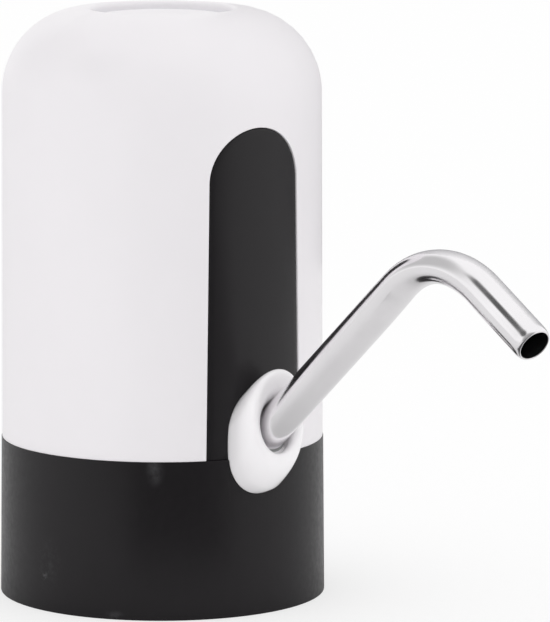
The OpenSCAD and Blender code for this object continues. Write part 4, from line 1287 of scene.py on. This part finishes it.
@dataclass
class Base:
    """Black base with the neck socket, the screw posts and the rim that carries the shell."""

    foot_r: float
    shell_r: float
    seam_z: float
    lap_top: float
    neck_r: float
    neck_depth: float
    deck_z: float
    lip: float = 0.15
    lap_drop: float = 2.0
    skirt_wall: float = 2.25
    spigot_r: float = 35.45
    spigot_wall: float = 1.45
    floor: float = 2.5
    sleeve_wall: float = 2.4
    chamber_r: float = 25.0
    groove_w: float = 2.9
    groove_h: float = 2.5
    foot_edge: float = 0.35
    top_edge: float = 0.12
    small_edge: float = 0.2
    post_r: float = 3.3
    post_low: float = 1.2
    post_gap: float = 0.1
    post_ring: float = 31.85
    post_angles: tuple[float, ...] = (60.0, 130.0, -130.0, -60.0)
    post_sides: int = 40
    bore_r: float = 2.25
    bore_top: float = 20.0
    bore_lead: float = 0.35
    hole_r: float = 1.4
    cut_half: float = 13.4
    cut_in: float = 30.0
    sides: int = 192

    def outline(self) -> list[Spot]:
        """Draws the closed section of the base.

        Returns:
            Radius and height of each point, in order round the section.
        """
        top_r = self.shell_r + self.lip
        skirt_in = top_r - self.skirt_wall
        spigot_in = self.spigot_r - self.spigot_wall
        sleeve_r = self.neck_r + self.sleeve_wall
        groove_top = self.neck_depth + self.groove_h
        groove_r = self.chamber_r + self.groove_w
        lap_low = self.seam_z - self.lap_drop
        return rounded([
            (self.neck_r, 0.0, self.foot_edge),
            (self.foot_r, 0.0, self.foot_edge),
            (top_r, self.seam_z, self.top_edge),
            (self.spigot_r, self.seam_z, 0.0),
            (self.spigot_r, self.lap_top, self.small_edge),
            (spigot_in, self.lap_top, self.small_edge),
            (spigot_in, lap_low, 0.0),
            (skirt_in, lap_low - skirt_in + spigot_in, 0.0),
            (skirt_in, self.floor, 0.0),
            (sleeve_r, self.floor, 0.0),
            (sleeve_r, self.deck_z, 0.0),
            (self.chamber_r, self.deck_z, 0.0),
            (self.chamber_r, groove_top, 0.0),
            (groove_r, groove_top, 0.0),
            (groove_r, self.neck_depth, 0.0),
            (self.neck_r, self.neck_depth, self.small_edge / 2),
        ])

    def bar(self, name: str, outline: Sequence[Spot], angle: float) -> bpy.types.Object:
        """Makes a round bar at one of the posts.

        Args:
            name: the mesh's name.
            outline: radius and height of the bar's section.
            angle: the post's angle about the pump's axis.

        Returns:
            The bar as an object.
        """
        turn = math.radians(angle)
        centre = (self.post_ring * math.cos(turn), self.post_ring * math.sin(turn))
        return MeshDraft.turned(name, outline, self.post_sides, centre)

    def panel_way(self) -> bpy.types.Object:
        """Makes the mesh that clears the rim where the front panel stands on the base.

        Returns:
            The cutting mesh.
        """
        half = self.cut_half
        corners = [(self.cut_in, -half), (self.foot_r, -half), (self.foot_r, half), (self.cut_in, half)]
        heights = (self.seam_z, self.lap_top + PAST)
        rows = [[(x, y, z) for x, y in corners] for z in heights]
        return MeshDraft.lofted("panel_way", rows, ring=True)

    def build(self, placer: Placer, boss_tool: Callable[[], bpy.types.Object]) -> None:
        """Builds the base with its posts and holes and places it.

        Args:
            placer: what sets the piece on its body.
            boss_tool: makes the mesh that cuts the boss's way.
        """
        piece = MeshDraft.turned("base_skin", self.outline(), self.sides)
        post_top = self.deck_z - self.post_gap
        post = [(0.0, self.post_low), (self.post_r, self.post_low), (self.post_r, post_top), (0.0, post_top)]
        mouth_r = self.bore_r + self.bore_lead
        hole_top = self.deck_z + PAST
        hole = [
            (0.0, -PAST),
            (mouth_r, -PAST),
            (mouth_r, 0.0),
            (self.bore_r, self.bore_lead),
            (self.bore_r, self.bore_top),
            (self.hole_r, self.bore_top),
            (self.hole_r, hole_top),
            (0.0, hole_top),
        ]
        for angle in self.post_angles:
            carve(piece, self.bar("post", post, angle), Cut.JOIN)
        for angle in self.post_angles:
            carve(piece, self.bar("hole", hole, angle), Cut.TAKE_AWAY)
        carve(piece, self.panel_way(), Cut.TAKE_AWAY)
        carve(piece, boss_tool(), Cut.TAKE_AWAY)
        placer.put(piece, Ride.HOUSING, "black_body", "base_ring")


@dataclass
class OutletBoss:
    """White outlet boss whose face rolls softly into the spout's hole."""

    line: SpoutLine
    face_x: float
    half_w: float = 8.1
    stretch: float = 1.5
    lift: float = 0.5
    lean_gain: float = 5.0
    hole_r: float = 4.6
    sag: float = 0.95
    sag_run: float = 8.0
    hole_sag: float = 0.8
    sag_reach: float = 1.4
    pocket_r: float = 6.0
    pocket_top: float = 3.0
    pocket_floor: float = -5.0
    back: float = -7.5
    rim_reach: float = 1.4
    mouth_reach: float = 0.2
    mouth_share: float = 0.5
    rim_round: float = 4.0
    rim_run: float = 8.5
    rim_share: float = 0.7
    hole_round: float = 1.9
    hole_roll: float = 2.6
    rim_steps: int = 12
    hole_steps: int = 10
    gap: float = 0.15
    tool_reach: float = 30.0
    sides: int = 144

    def ring_spot(self, turn: float, along: float, grow: float = 0.0) -> Spot:
        """Gives a point of the boss's outline square to the spout's line, which sags more further out.

        Args:
            turn: angle about the line, from its upper side.
            along: distance along the line from its root.
            grow: how much larger the outline is.

        Returns:
            Distance upwards and along +Y from the spout's line.
        """
        lean = max(-1.0, min(1.0, self.lean_gain * math.cos(turn)))
        size = self.half_w + grow
        sag = self.sag * self.low(turn) * (along - self.back) / self.sag_run
        return self.lift + size * math.cos(turn) + self.stretch * lean - sag, size * math.sin(turn)

    @staticmethod
    def low(turn: float) -> float:
        """Gives how far down the outline an angle is, from 0 at its sides to 1 at its foot."""
        return max(0.0, -math.cos(turn))

    def face_run(self, out: float, reach: float) -> float:
        """Gives how far along the line an upright face lies, at a distance above the line.

        Args:
            out: distance upwards from the line.
            reach: how far the face stands out from the solid's face.

        Returns:
            Distance along the line from its root.
        """
        root, rise = self.line.root, self.line.rise
        return (self.face_x + reach - root.x + out * rise.z) / rise.x

    def tool(self) -> bpy.types.Object:
        """Makes the mesh that cuts the boss's way through base and panel.

        Returns:
            The cutting mesh.
        """
        turns = full_turn(self.sides)
        rows = []
        for along in (self.back - PAST, self.tool_reach):
            rows.append([self.line.off_axis(*self.ring_spot(t, along, self.gap), along) for t in turns])
        return MeshDraft.lofted("boss_tool", rows, ring=True)

    def section(self, turn: float) -> list[Point]:
        """Follows the boss from its inner end over its face and down the hole, at one angle.

        Args:
            turn: angle about the spout's line.

        Returns:
            The section's points.
        """
        rise = self.line.rise
        inner_out, side = self.ring_spot(turn, self.back)
        out, _ = self.ring_spot(turn, self.back + self.sag_run)
        low = self.low(turn)
        hole_out = self.hole_r * math.cos(turn) - self.hole_sag * low
        hole_side = self.hole_r * math.sin(turn)
        rim_reach = self.rim_reach + self.sag_reach * low
        mouth_reach = self.mouth_reach + self.sag_reach * low * self.mouth_share
        rim = Vector(self.line.off_axis(out, side, self.face_run(out, rim_reach)))
        mouth = Vector(self.line.off_axis(hole_out, hole_side, self.face_run(hole_out, mouth_reach)))
        inward = (mouth - rim).normalized()
        wide = (mouth - rim).length
        turn_in = inward * min(self.rim_round, self.rim_share * wide)
        turn_down = inward * min(self.hole_round, (1 - self.rim_share) * wide)
        points = [Vector(self.line.off_axis(inner_out, side, self.back))]
        points += corner_curve(rim - rise * self.rim_run, rim, rim + turn_in, self.rim_steps)
        hole_end = mouth - rise * self.hole_roll
        points += corner_curve(mouth - turn_down, mouth, hole_end, self.hole_steps)
        for r, along in (
            (self.hole_r, self.pocket_top),
            (self.pocket_r, self.pocket_top),
            (self.pocket_r, self.pocket_floor),
            (0.0, self.pocket_floor),
        ):
            points.append(Vector(self.line.off_axis(r * math.cos(turn), r * math.sin(turn), along)))
        return [tuple(p) for p in points]

    def build(self, placer: Placer) -> None:
        """Builds the boss and places it.

        Args:
            placer: what sets the piece on its body.
        """
        rows = [self.section(turn) for turn in full_turn(self.sides)]
        piece = MeshDraft.lofted("outlet_boss", rows, loop=True)
        placer.put(piece, Ride.HOUSING, "white_boss", "spout_boss")


@dataclass
class Spout:
    """Bent steel tube, flattened where it is bent, with its ends turned in and rounded."""

    line: SpoutLine
    inner_end: float = -4.05
    wall: float = 0.6
    lip: float = 0.14
    turn_in: float = 0.55
    turn_in_len: float = 2.0
    roll_in: float = 0.15
    flat_middle: float = 12.0
    flat_half: float = 25.0
    flat_in: float = 0.5
    flat_out: float = 0.3
    flat_shift: float = 0.15
    sides: int = 96
    leg_steps: int = 24
    bend_steps: int = 64
    outlet_steps: int = 8
    lip_steps: int = 8

    def path(self) -> list[tuple[Vector, Vector, float]]:
        """Follows the tube's middle from its inner end to the outlet.

        Returns:
            Each point with the direction of the tube there and how much of the flattening it has.
        """
        line = self.line
        corner = line.corner()
        turn = line.rise.angle(line.fall)
        tangent = line.bend_r * math.tan(turn / 2)
        start = line.root + line.rise * self.inner_end
        leg_end = corner - line.rise * tangent
        centre = leg_end - line.lift * line.bend_r
        bend_end = corner + line.fall * tangent
        outlet = line.outlet_mid + line.fall * line.outlet_len / 2
        spots = [(start.lerp(leg_end, k / self.leg_steps), line.rise) for k in range(self.leg_steps)]
        for k in range(self.bend_steps):
            swing = Matrix.Rotation(turn * k / self.bend_steps, 3, "Y")
            spots.append((centre + swing @ line.lift * line.bend_r, swing @ line.rise))
        steps = self.outlet_steps
        spots += [(bend_end.lerp(outlet, k / steps), line.fall) for k in range(steps + 1)]
        run = -(leg_end - start).length
        path = []
        for i, (spot, way) in enumerate(spots):
            run += (spot - spots[i - 1][0]).length if i else 0.0
            away = max(-1.0, min(1.0, (run - self.flat_middle) / self.flat_half))
            path.append((spot, way, (1 + math.cos(math.pi * away)) / 2))
        return path

    def ring(self, centre: Vector, way: Vector, size: float, flat: float = 0.0) -> list[Point]:
        """Gives a ring of the tube.

        Args:
            centre: the ring's centre.
            way: the tube's direction there.
            size: the ring's radius where the tube is round.
            flat: how much of the flattening the ring has, from 0 to 1.

        Returns:
            The ring's points.
        """
        up = Vector((-way.z, 0.0, way.x))
        high = up * (size - self.flat_in * flat)
        wide = Vector((0.0, size + self.flat_out * flat, 0.0))
        middle = centre + up * self.flat_shift * flat
        turns = full_turn(self.sides)
        return [tuple(middle + high * math.cos(t) + wide * math.sin(t)) for t in turns]

    def lips(self, end: Vector, way: Vector) -> list[list[Point]]:
        """Turns the tube's end in and rounds it, from its outside to its bore.

        Args:
            end: centre of the tube's end.
            way: direction out of the tube.

        Returns:
            Rings from the outside to the bore.
        """
        outer, inner = self.line.tube_r, self.line.tube_r - self.wall - self.roll_in
        bends = [math.radians(90 * k / self.lip_steps) for k in range(self.lip_steps + 1)]
        rings = [
            (outer - self.turn_in * (1 - math.cos(a)), -self.turn_in_len * (1 - math.sin(a))) for a in bends
        ]
        rings += arc((inner + self.lip, -self.lip), self.lip, 90, 180, self.lip_steps)
        flipped = way.dot(self.line.fall) < 0
        facing = -way if flipped else way
        return [self.ring(end + way * along, facing, r) for r, along in rings]

    def build(self, placer: Placer) -> None:
        """Builds the tube and places it.

        Args:
            placer: what sets the piece on its body.
        """
        path = self.path()
        outer, inner = self.line.tube_r, self.line.tube_r - self.wall
        (first, rise, _), (last, fall, _) = path[0], path[-1]
        start_lip = self.lips(first, -rise)
        end_lip = self.lips(last, fall)
        trimmed = path[1:-1]
        rows = [self.ring(centre, way, outer, flat) for centre, way, flat in trimmed]
        rows += end_lip
        rows += [self.ring(centre, way, inner, flat) for centre, way, flat in reversed(trimmed)]
        rows += list(reversed(start_lip))
        girth = 2 * math.pi * outer / self.sides
        middles = [sum((Vector(p) for p in row), Vector()) / len(row) for row in rows]
        runs = [0.0]
        for a, b in zip(middles, middles[1:] + middles[:1]):
            runs.append(runs[-1] + (b - a).length)
        piece = MeshDraft.lofted(
            "spout_pipe", rows, ring=True, loop=True, chart=lambda i, k: (k * girth, runs[i])
        )
        placer.put(piece, Ride.SPOUT, "stainless", "spout_tube")


@dataclass
class ButtonTop:
    """Dished push button and the frosted ring round it."""

    face_z: float
    flange_r: float
    flange_low: float
    ring_low: float
    ring_top: float
    ring_flange_r: float
    button_r: float = 14.5
    button_wall: float = 1.6
    flange_h: float = 1.9
    cap: float = 2.0
    dish: float = 0.7
    dish_rim: float = 2.0
    edge: float = 0.7
    groove: float = 0.18
    groove_w: float = 0.5
    stem_r: float = 2.5
    stem_low: float = 125.35
    ring_in: float = 14.75
    ring_out: float = 16.25
    ring_flange_h: float = 1.5
    stem_edge: float = 0.2
    inner_edge: float = 0.3
    flange_edge: float = 0.15
    neck_edge: float = 0.1
    groove_edge: float = 0.06
    ring_foot_edge: float = 0.1
    ring_flange_edge: float = 0.2
    ring_edge: float = 0.35
    dish_steps: int = 16
    sides: int = 144

    def button(self, placer: Placer) -> None:
        """Builds the button with its dish and a fine groove round it.

        Args:
            placer: what sets the piece on its body.
        """
        flange_top = self.flange_low + self.flange_h
        under = self.face_z - self.cap
        inner = self.button_r - self.button_wall
        dish_r = self.button_r - self.dish_rim
        sphere_r = (dish_r**2 + self.dish**2) / (2 * self.dish)
        dish = []
        for k in range(self.dish_steps + 1):
            r = dish_r * (1 - k / self.dish_steps)
            dish.append((r, self.face_z - self.dish + sphere_r - math.sqrt(sphere_r**2 - r**2), 0.0))
        groove_r = dish_r + self.dish_rim / 2 - self.groove_w / 2
        outline = rounded([
            (0.0, self.stem_low, 0.0),
            (self.stem_r, self.stem_low, self.stem_edge),
            (self.stem_r, under, self.stem_edge),
            (inner, under, self.inner_edge),
            (inner, self.flange_low, self.flange_edge),
            (self.flange_r, self.flange_low, self.flange_edge),
            (self.flange_r, flange_top, self.flange_edge),
            (self.button_r, flange_top, self.neck_edge),
            (self.button_r, self.face_z, self.edge),
            (groove_r + self.groove_w, self.face_z, self.groove_edge),
            (groove_r + self.groove_w / 2, self.face_z - self.groove, self.groove_edge),
            (groove_r, self.face_z, self.groove_edge),
            *dish,
        ])
        piece = MeshDraft.turned("button_face", outline, self.sides)
        placer.put(piece, Ride.BUTTON, "button_white", "button_cap")

    def ring(self, placer: Placer) -> None:
        """Builds the frosted ring.

        Args:
            placer: what sets the piece on its body.
        """
        step_z = self.ring_low + self.ring_flange_h
        outline = rounded([
            (self.ring_in, self.ring_low, self.ring_foot_edge),
            (self.ring_flange_r, self.ring_low, self.ring_flange_edge),
            (self.ring_flange_r, step_z, self.ring_flange_edge),
            (self.ring_out, step_z, 0.0),
            (self.ring_out, self.ring_top, self.ring_edge),
            (self.ring_in, self.ring_top, self.ring_edge),
        ])
        piece = MeshDraft.turned("light_guide", outline, self.sides)
        placer.put(piece, Ride.HOUSING, "light_ring", "light_ring")


@dataclass
class Underside:
    """Gasket and hose nipple, which show in the neck socket."""

    gasket_low: float
    gasket_top: float
    gasket_in: float
    gasket_out: float
    nipple_r: float
    nipple_low: float
    nipple_top: float
    deck_z: float
    ridge: float = 0.35
    ridges: int = 3
    bore_r: float = 2.6
    barb_r: float = 2.6
    barb_bore: float = 1.7
    shoulder_r: float = 5.0
    flange_r: float = 7.5
    flange_h: float = 1.5
    deck_h: float = 3.0
    nipple_lead: float = 0.5
    bore_edge: float = 0.15
    flange_edge: float = 0.2
    ridge_steps: int = 8
    sides: int = 144
    nipple_sides: int = 72

    def gasket(self, placer: Placer) -> None:
        """Builds the gasket with sealing ridges on its lower face.

        Args:
            placer: what sets the piece on its body.
        """
        wide = self.gasket_out - self.gasket_in
        step = wide / self.ridges
        ridge_root = self.gasket_low + self.ridge
        lower: list[Spot] = []
        for k in range(self.ridges):
            middle = self.gasket_in + (k + 0.5) * step
            lower += arc((middle, ridge_root), self.ridge, 180, 360, self.ridge_steps)
        outline = [
            *lower,
            (self.gasket_out, ridge_root),
            (self.gasket_out, self.gasket_top),
            (self.gasket_in, self.gasket_top),
            (self.gasket_in, ridge_root),
        ]
        piece = MeshDraft.turned("gasket_ring", outline, self.sides)
        placer.put(piece, Ride.HOUSING, "silicone", "neck_gasket")

    def nipple(self, placer: Placer) -> None:
        """Builds the nipple with its rounded lead and its stepped bore.

        Args:
            placer: what sets the piece on its body.
        """
        deck_top = self.deck_z + self.deck_h
        flange_top = deck_top + self.flange_h
        outline = rounded([
            (self.bore_r, self.nipple_low, self.bore_edge),
            (self.nipple_r, self.nipple_low, self.nipple_lead),
            (self.nipple_r, self.deck_z, 0.0),
            (self.shoulder_r, self.deck_z, 0.0),
            (self.shoulder_r, deck_top, 0.0),
            (self.flange_r, deck_top, self.flange_edge),
            (self.flange_r, flange_top, self.flange_edge),
            (self.barb_r, flange_top, self.flange_edge),
            (self.barb_r, self.nipple_top, self.flange_edge),
            (self.barb_bore, self.nipple_top, self.flange_edge),
            (self.barb_bore, self.deck_z, 0.0),
            (self.bore_r, self.deck_z, 0.0),
        ])
        piece = MeshDraft.turned("bottle_nipple", outline, self.nipple_sides)
        placer.put(piece, Ride.HOUSING, "pump_plastic", "hose_nipple")


@dataclass(frozen=True)
class Flag:
    """A dark cloth round the set: the way to it, its soft edge as two angles and the light it leaves."""

    way: Point
    inner_deg: float
    outer_deg: float
    level: float


@dataclass
class Studio:
    """Pale floor, white surroundings, cards that only reflections show and the photograph's camera."""

    camera_at: Point = (957.4, -705.8, 246.95)
    forward: Point = (-0.7827, 0.6038, -0.1513)
    roll: float = -0.0018
    lens: float = 302.3
    sensor: float = 36.0
    sight_m: float = 20.0
    floor_size: float = 6000.0
    floor_glow: float = 0.6
    floor_colour: str = "#fdfdfd"
    floor_mirrored: str = "#e6e6e6"
    card_near: float = 95.0
    card_far: float = 2500.0
    card_z: float = 0.2
    card_from_deg: float = -57.0
    card_to_deg: float = 6.0
    card_steps: int = 24
    card_colour: str = "#4a4a4c"
    card_roughness: float = 0.9
    flags: tuple[Flag, ...] = (
        Flag(way=(0.78, -0.60, 0.15), inner_deg=35.0, outer_deg=55.0, level=0.35),
        Flag(way=(-0.08, -0.70, 0.715), inner_deg=12.5, outer_deg=20.0, level=0.1),
        Flag(way=(-0.78, -0.38, 0.48), inner_deg=13.0, outer_deg=34.0, level=0.55),
    )
    panel_at: Point = (56.0, 87.0, 113.0)
    panel_way: Point = (0.55, -0.79, -0.27)
    panel_left: float = 90.0
    panel_right: float = 45.0
    panel_drop: float = 45.0
    panel_rise: float = 90.0
    panel_colour: str = "#a2a2a4"
    panel_top_colour: str = "#fafafa"

    def camera(self) -> None:
        """Sets the camera where the photograph was taken from."""
        ahead = Vector(self.forward).normalized()
        right = ahead.cross(Vector((0.0, 0.0, 1.0))).normalized()
        up = right.cross(ahead)
        turned = Matrix.Rotation(self.roll, 3, ahead)
        axes = Matrix((turned @ right, turned @ up, -ahead)).transposed()
        data = bpy.data.cameras.new("photo_camera")
        data.lens = self.lens
        data.sensor_width = self.sensor
        data.sensor_fit = "AUTO"
        data.clip_end = self.sight_m
        camera = bpy.data.objects.new("photo_camera", data)
        camera.matrix_world = Matrix.Translation(Vector(self.camera_at) * MM) @ axes.to_4x4()
        bpy.context.scene.collection.objects.link(camera)
        bpy.context.scene.camera = camera

    def floor(self) -> None:
        """Lays the pale floor, which keeps a light shadow of the pump."""
        half = self.floor_size / 2
        rows = [[(x, y, 0.0) for x in (-half, half)] for y in (-half, half)]
        piece = MeshDraft.lofted("studio_floor", rows)
        material = bpy.data.materials.new("paper_sweep_white")
        material.use_nodes = True
        tree = material.node_tree
        tree.nodes.clear()
        rays = add_node(tree, "ShaderNodeLightPath")
        share = add_node(
            tree,
            "ShaderNodeMath",
            links={0: rays.outputs["Is Camera Ray"]},
            values={1: self.floor_glow},
            operation="MULTIPLY",
        )
        tone = add_node(
            tree,
            "ShaderNodeMix",
            links={"Factor": rays.outputs["Is Glossy Ray"]},
            values={MIX_FIRST: linear(self.floor_colour), MIX_SECOND: linear(self.floor_mirrored)},
            data_type="RGBA",
        )
        paper = add_node(tree, "ShaderNodeBsdfDiffuse", links={"Color": tone.outputs[MIX_RESULT]})
        white = add_node(tree, "ShaderNodeEmission", values={"Color": linear(WHITE), "Strength": 1.0})
        mixed = add_node(
            tree,
            "ShaderNodeMixShader",
            links={0: share.outputs["Value"], 1: paper.outputs[0], 2: white.outputs[0]},
        )
        add_node(tree, "ShaderNodeOutputMaterial", links={"Surface": mixed.outputs[0]})
        piece.data.materials.append(material)

    def card(self) -> None:
        """Lays the dark card on the floor in front of the pump, which only reflections show."""
        start, end = math.radians(self.card_from_deg), math.radians(self.card_to_deg)
        turns = [start + (end - start) * k / self.card_steps for k in range(self.card_steps + 1)]
        reach = (self.card_near, self.card_far)
        rows = [[(r * math.cos(t), r * math.sin(t), self.card_z) for t in turns] for r in reach]
        self.reflected("studio_card", rows, self.card_colour)

    def panel(self) -> None:
        """Hangs the grey panel behind the spout, paler towards its top, that outlines the outlet leg."""
        facing = Vector(self.panel_way).normalized()
        across = facing.cross(Vector((0.0, 0.0, 1.0))).normalized()
        upward = across.cross(facing)
        middle = Vector(self.panel_at)
        sides, ends = (-self.panel_right, self.panel_left), (-self.panel_drop, self.panel_rise)
        rows = [[tuple(middle + across * x + upward * y) for x in sides] for y in ends]
        paper = self.reflected("studio_panel", rows, self.panel_colour)
        tree = paper.node_tree
        place = add_node(tree, "ShaderNodeTexCoord").outputs["Generated"]
        height = add_node(tree, "ShaderNodeSeparateXYZ", links={0: place}).outputs["Z"]
        tone = add_node(
            tree,
            "ShaderNodeMix",
            links={"Factor": height},
            values={MIX_FIRST: linear(self.panel_colour), MIX_SECOND: linear(self.panel_top_colour)},
            data_type="RGBA",
        )
        tree.links.new(tone.outputs[MIX_RESULT], tree.nodes["Principled BSDF"].inputs["Base Color"])

    def reflected(self, name: str, rows: Sequence[Sequence[Point]], colour: str) -> bpy.types.Material:
        """Makes a card that shows only in reflections.

        Args:
            name: the card's name.
            rows: rows of points of the card.
            colour: its colour as sRGB hex.

        Returns:
            The card's material.
        """
        piece = MeshDraft.lofted(name, rows)
        material = bpy.data.materials.new(f"{name}_paper")
        material.use_nodes = True
        shader = material.node_tree.nodes["Principled BSDF"]
        shader.inputs["Base Color"].default_value = linear(colour)
        shader.inputs["Roughness"].default_value = self.card_roughness
        piece.data.materials.append(material)
        piece.visible_camera = False
        piece.visible_diffuse = False
        piece.visible_shadow = False
        return material

    def world(self) -> None:
        """Surrounds the pump with white, with the flags that polished metal reflects as dark streaks."""
        world = bpy.data.worlds.new("studio")
        bpy.context.scene.world = world
        world.use_nodes = True
        tree = world.node_tree
        tree.nodes.clear()
        rays = add_node(tree, "ShaderNodeLightPath")
        place = add_node(tree, "ShaderNodeTexCoord").outputs["Generated"]
        level: bpy.types.NodeSocket | None = None
        for flag in self.flags:
            facing = add_node(
                tree,
                "ShaderNodeVectorMath",
                links={0: place},
                values={1: Vector(flag.way).normalized()},
                operation="DOT_PRODUCT",
            )
            dip = add_node(
                tree,
                "ShaderNodeMapRange",
                links={"Value": facing.outputs["Value"]},
                values={
                    "From Min": math.cos(math.radians(flag.outer_deg)),
                    "From Max": math.cos(math.radians(flag.inner_deg)),
                    "To Min": 1.0,
                    "To Max": flag.level,
                },
                interpolation_type="SMOOTHSTEP",
            )
            if level is None:
                level = dip.outputs["Result"]
                continue
            both = add_node(
                tree, "ShaderNodeMath", links={0: level, 1: dip.outputs["Result"]}, operation="MULTIPLY"
            )
            level = both.outputs["Value"]
        light = add_node(tree, "ShaderNodeBackground", values={"Color": linear(WHITE), "Strength": 1.0})
        mirrored = add_node(
            tree, "ShaderNodeBackground", links={"Strength": level}, values={"Color": linear(WHITE)}
        )
        mixed = add_node(
            tree,
            "ShaderNodeMixShader",
            links={0: rays.outputs["Is Glossy Ray"], 1: light.outputs[0], 2: mirrored.outputs[0]},
        )
        add_node(tree, "ShaderNodeOutputWorld", links={"Surface": mixed.outputs[0]})

    def build(self) -> None:
        """Sets up the whole studio."""
        bpy.context.scene.view_settings.view_transform = "Standard"
        self.camera()
        self.floor()
        self.card()
        self.panel()
        self.world()


def main() -> None:
    """Builds the studio and the pump's pieces in order."""
    logging.basicConfig(level=logging.INFO, format="%(name)s: %(message)s")
    Studio().build()
    placer = Placer({slot: finish.material() for slot, finish in FINISHES.items()})
    placer.dress_solids()
    line = SpoutLine.from_frame()
    base_high = high_mm("base_ring")
    neck = mount("neck_socket")["dims"]
    deck_z = low_mm("deck_plate").z
    shell = Shell(seam_z=low_mm("shell").z, top_z=high_mm("shell").z, foot_r=high_mm("shell").y)
    boss = OutletBoss(line, face_x=high_mm("spout_boss").x)
    base = Base(
        foot_r=base_high.x,
        shell_r=shell.foot_r,
        seam_z=shell.seam_z,
        lap_top=base_high.z,
        neck_r=neck["r_mm"],
        neck_depth=neck["length_mm"],
        deck_z=deck_z,
    )
    button_low, button_high = low_mm("button_cap"), high_mm("button_cap")
    ring_low, ring_high = low_mm("light_ring"), high_mm("light_ring")
    top = ButtonTop(
        face_z=button_high.z,
        flange_r=button_high.y,
        flange_low=button_low.z,
        ring_low=ring_low.z,
        ring_top=ring_high.z,
        ring_flange_r=ring_high.y,
    )
    gasket_low, gasket_high = low_mm("neck_gasket"), high_mm("neck_gasket")
    nipple_low, nipple_high = low_mm("hose_nipple"), high_mm("hose_nipple")
    under = Underside(
        gasket_low=gasket_low.z,
        gasket_top=gasket_high.z,
        gasket_in=base.chamber_r,
        gasket_out=gasket_high.y,
        nipple_r=mount("hose_nipple")["dims"]["r_mm"],
        nipple_low=nipple_low.z,
        nipple_top=nipple_high.z,
        deck_z=deck_z,
    )
    shell.build(placer)
    FrontPanel(shell).build(placer, boss.tool)
    base.build(placer, boss.tool)
    boss.build(placer)
    Spout(line).build(placer)
    top.button(placer)
    top.ring(placer)
    under.gasket(placer)
    under.nipple(placer)


if __name__ == "__main__":
    main()
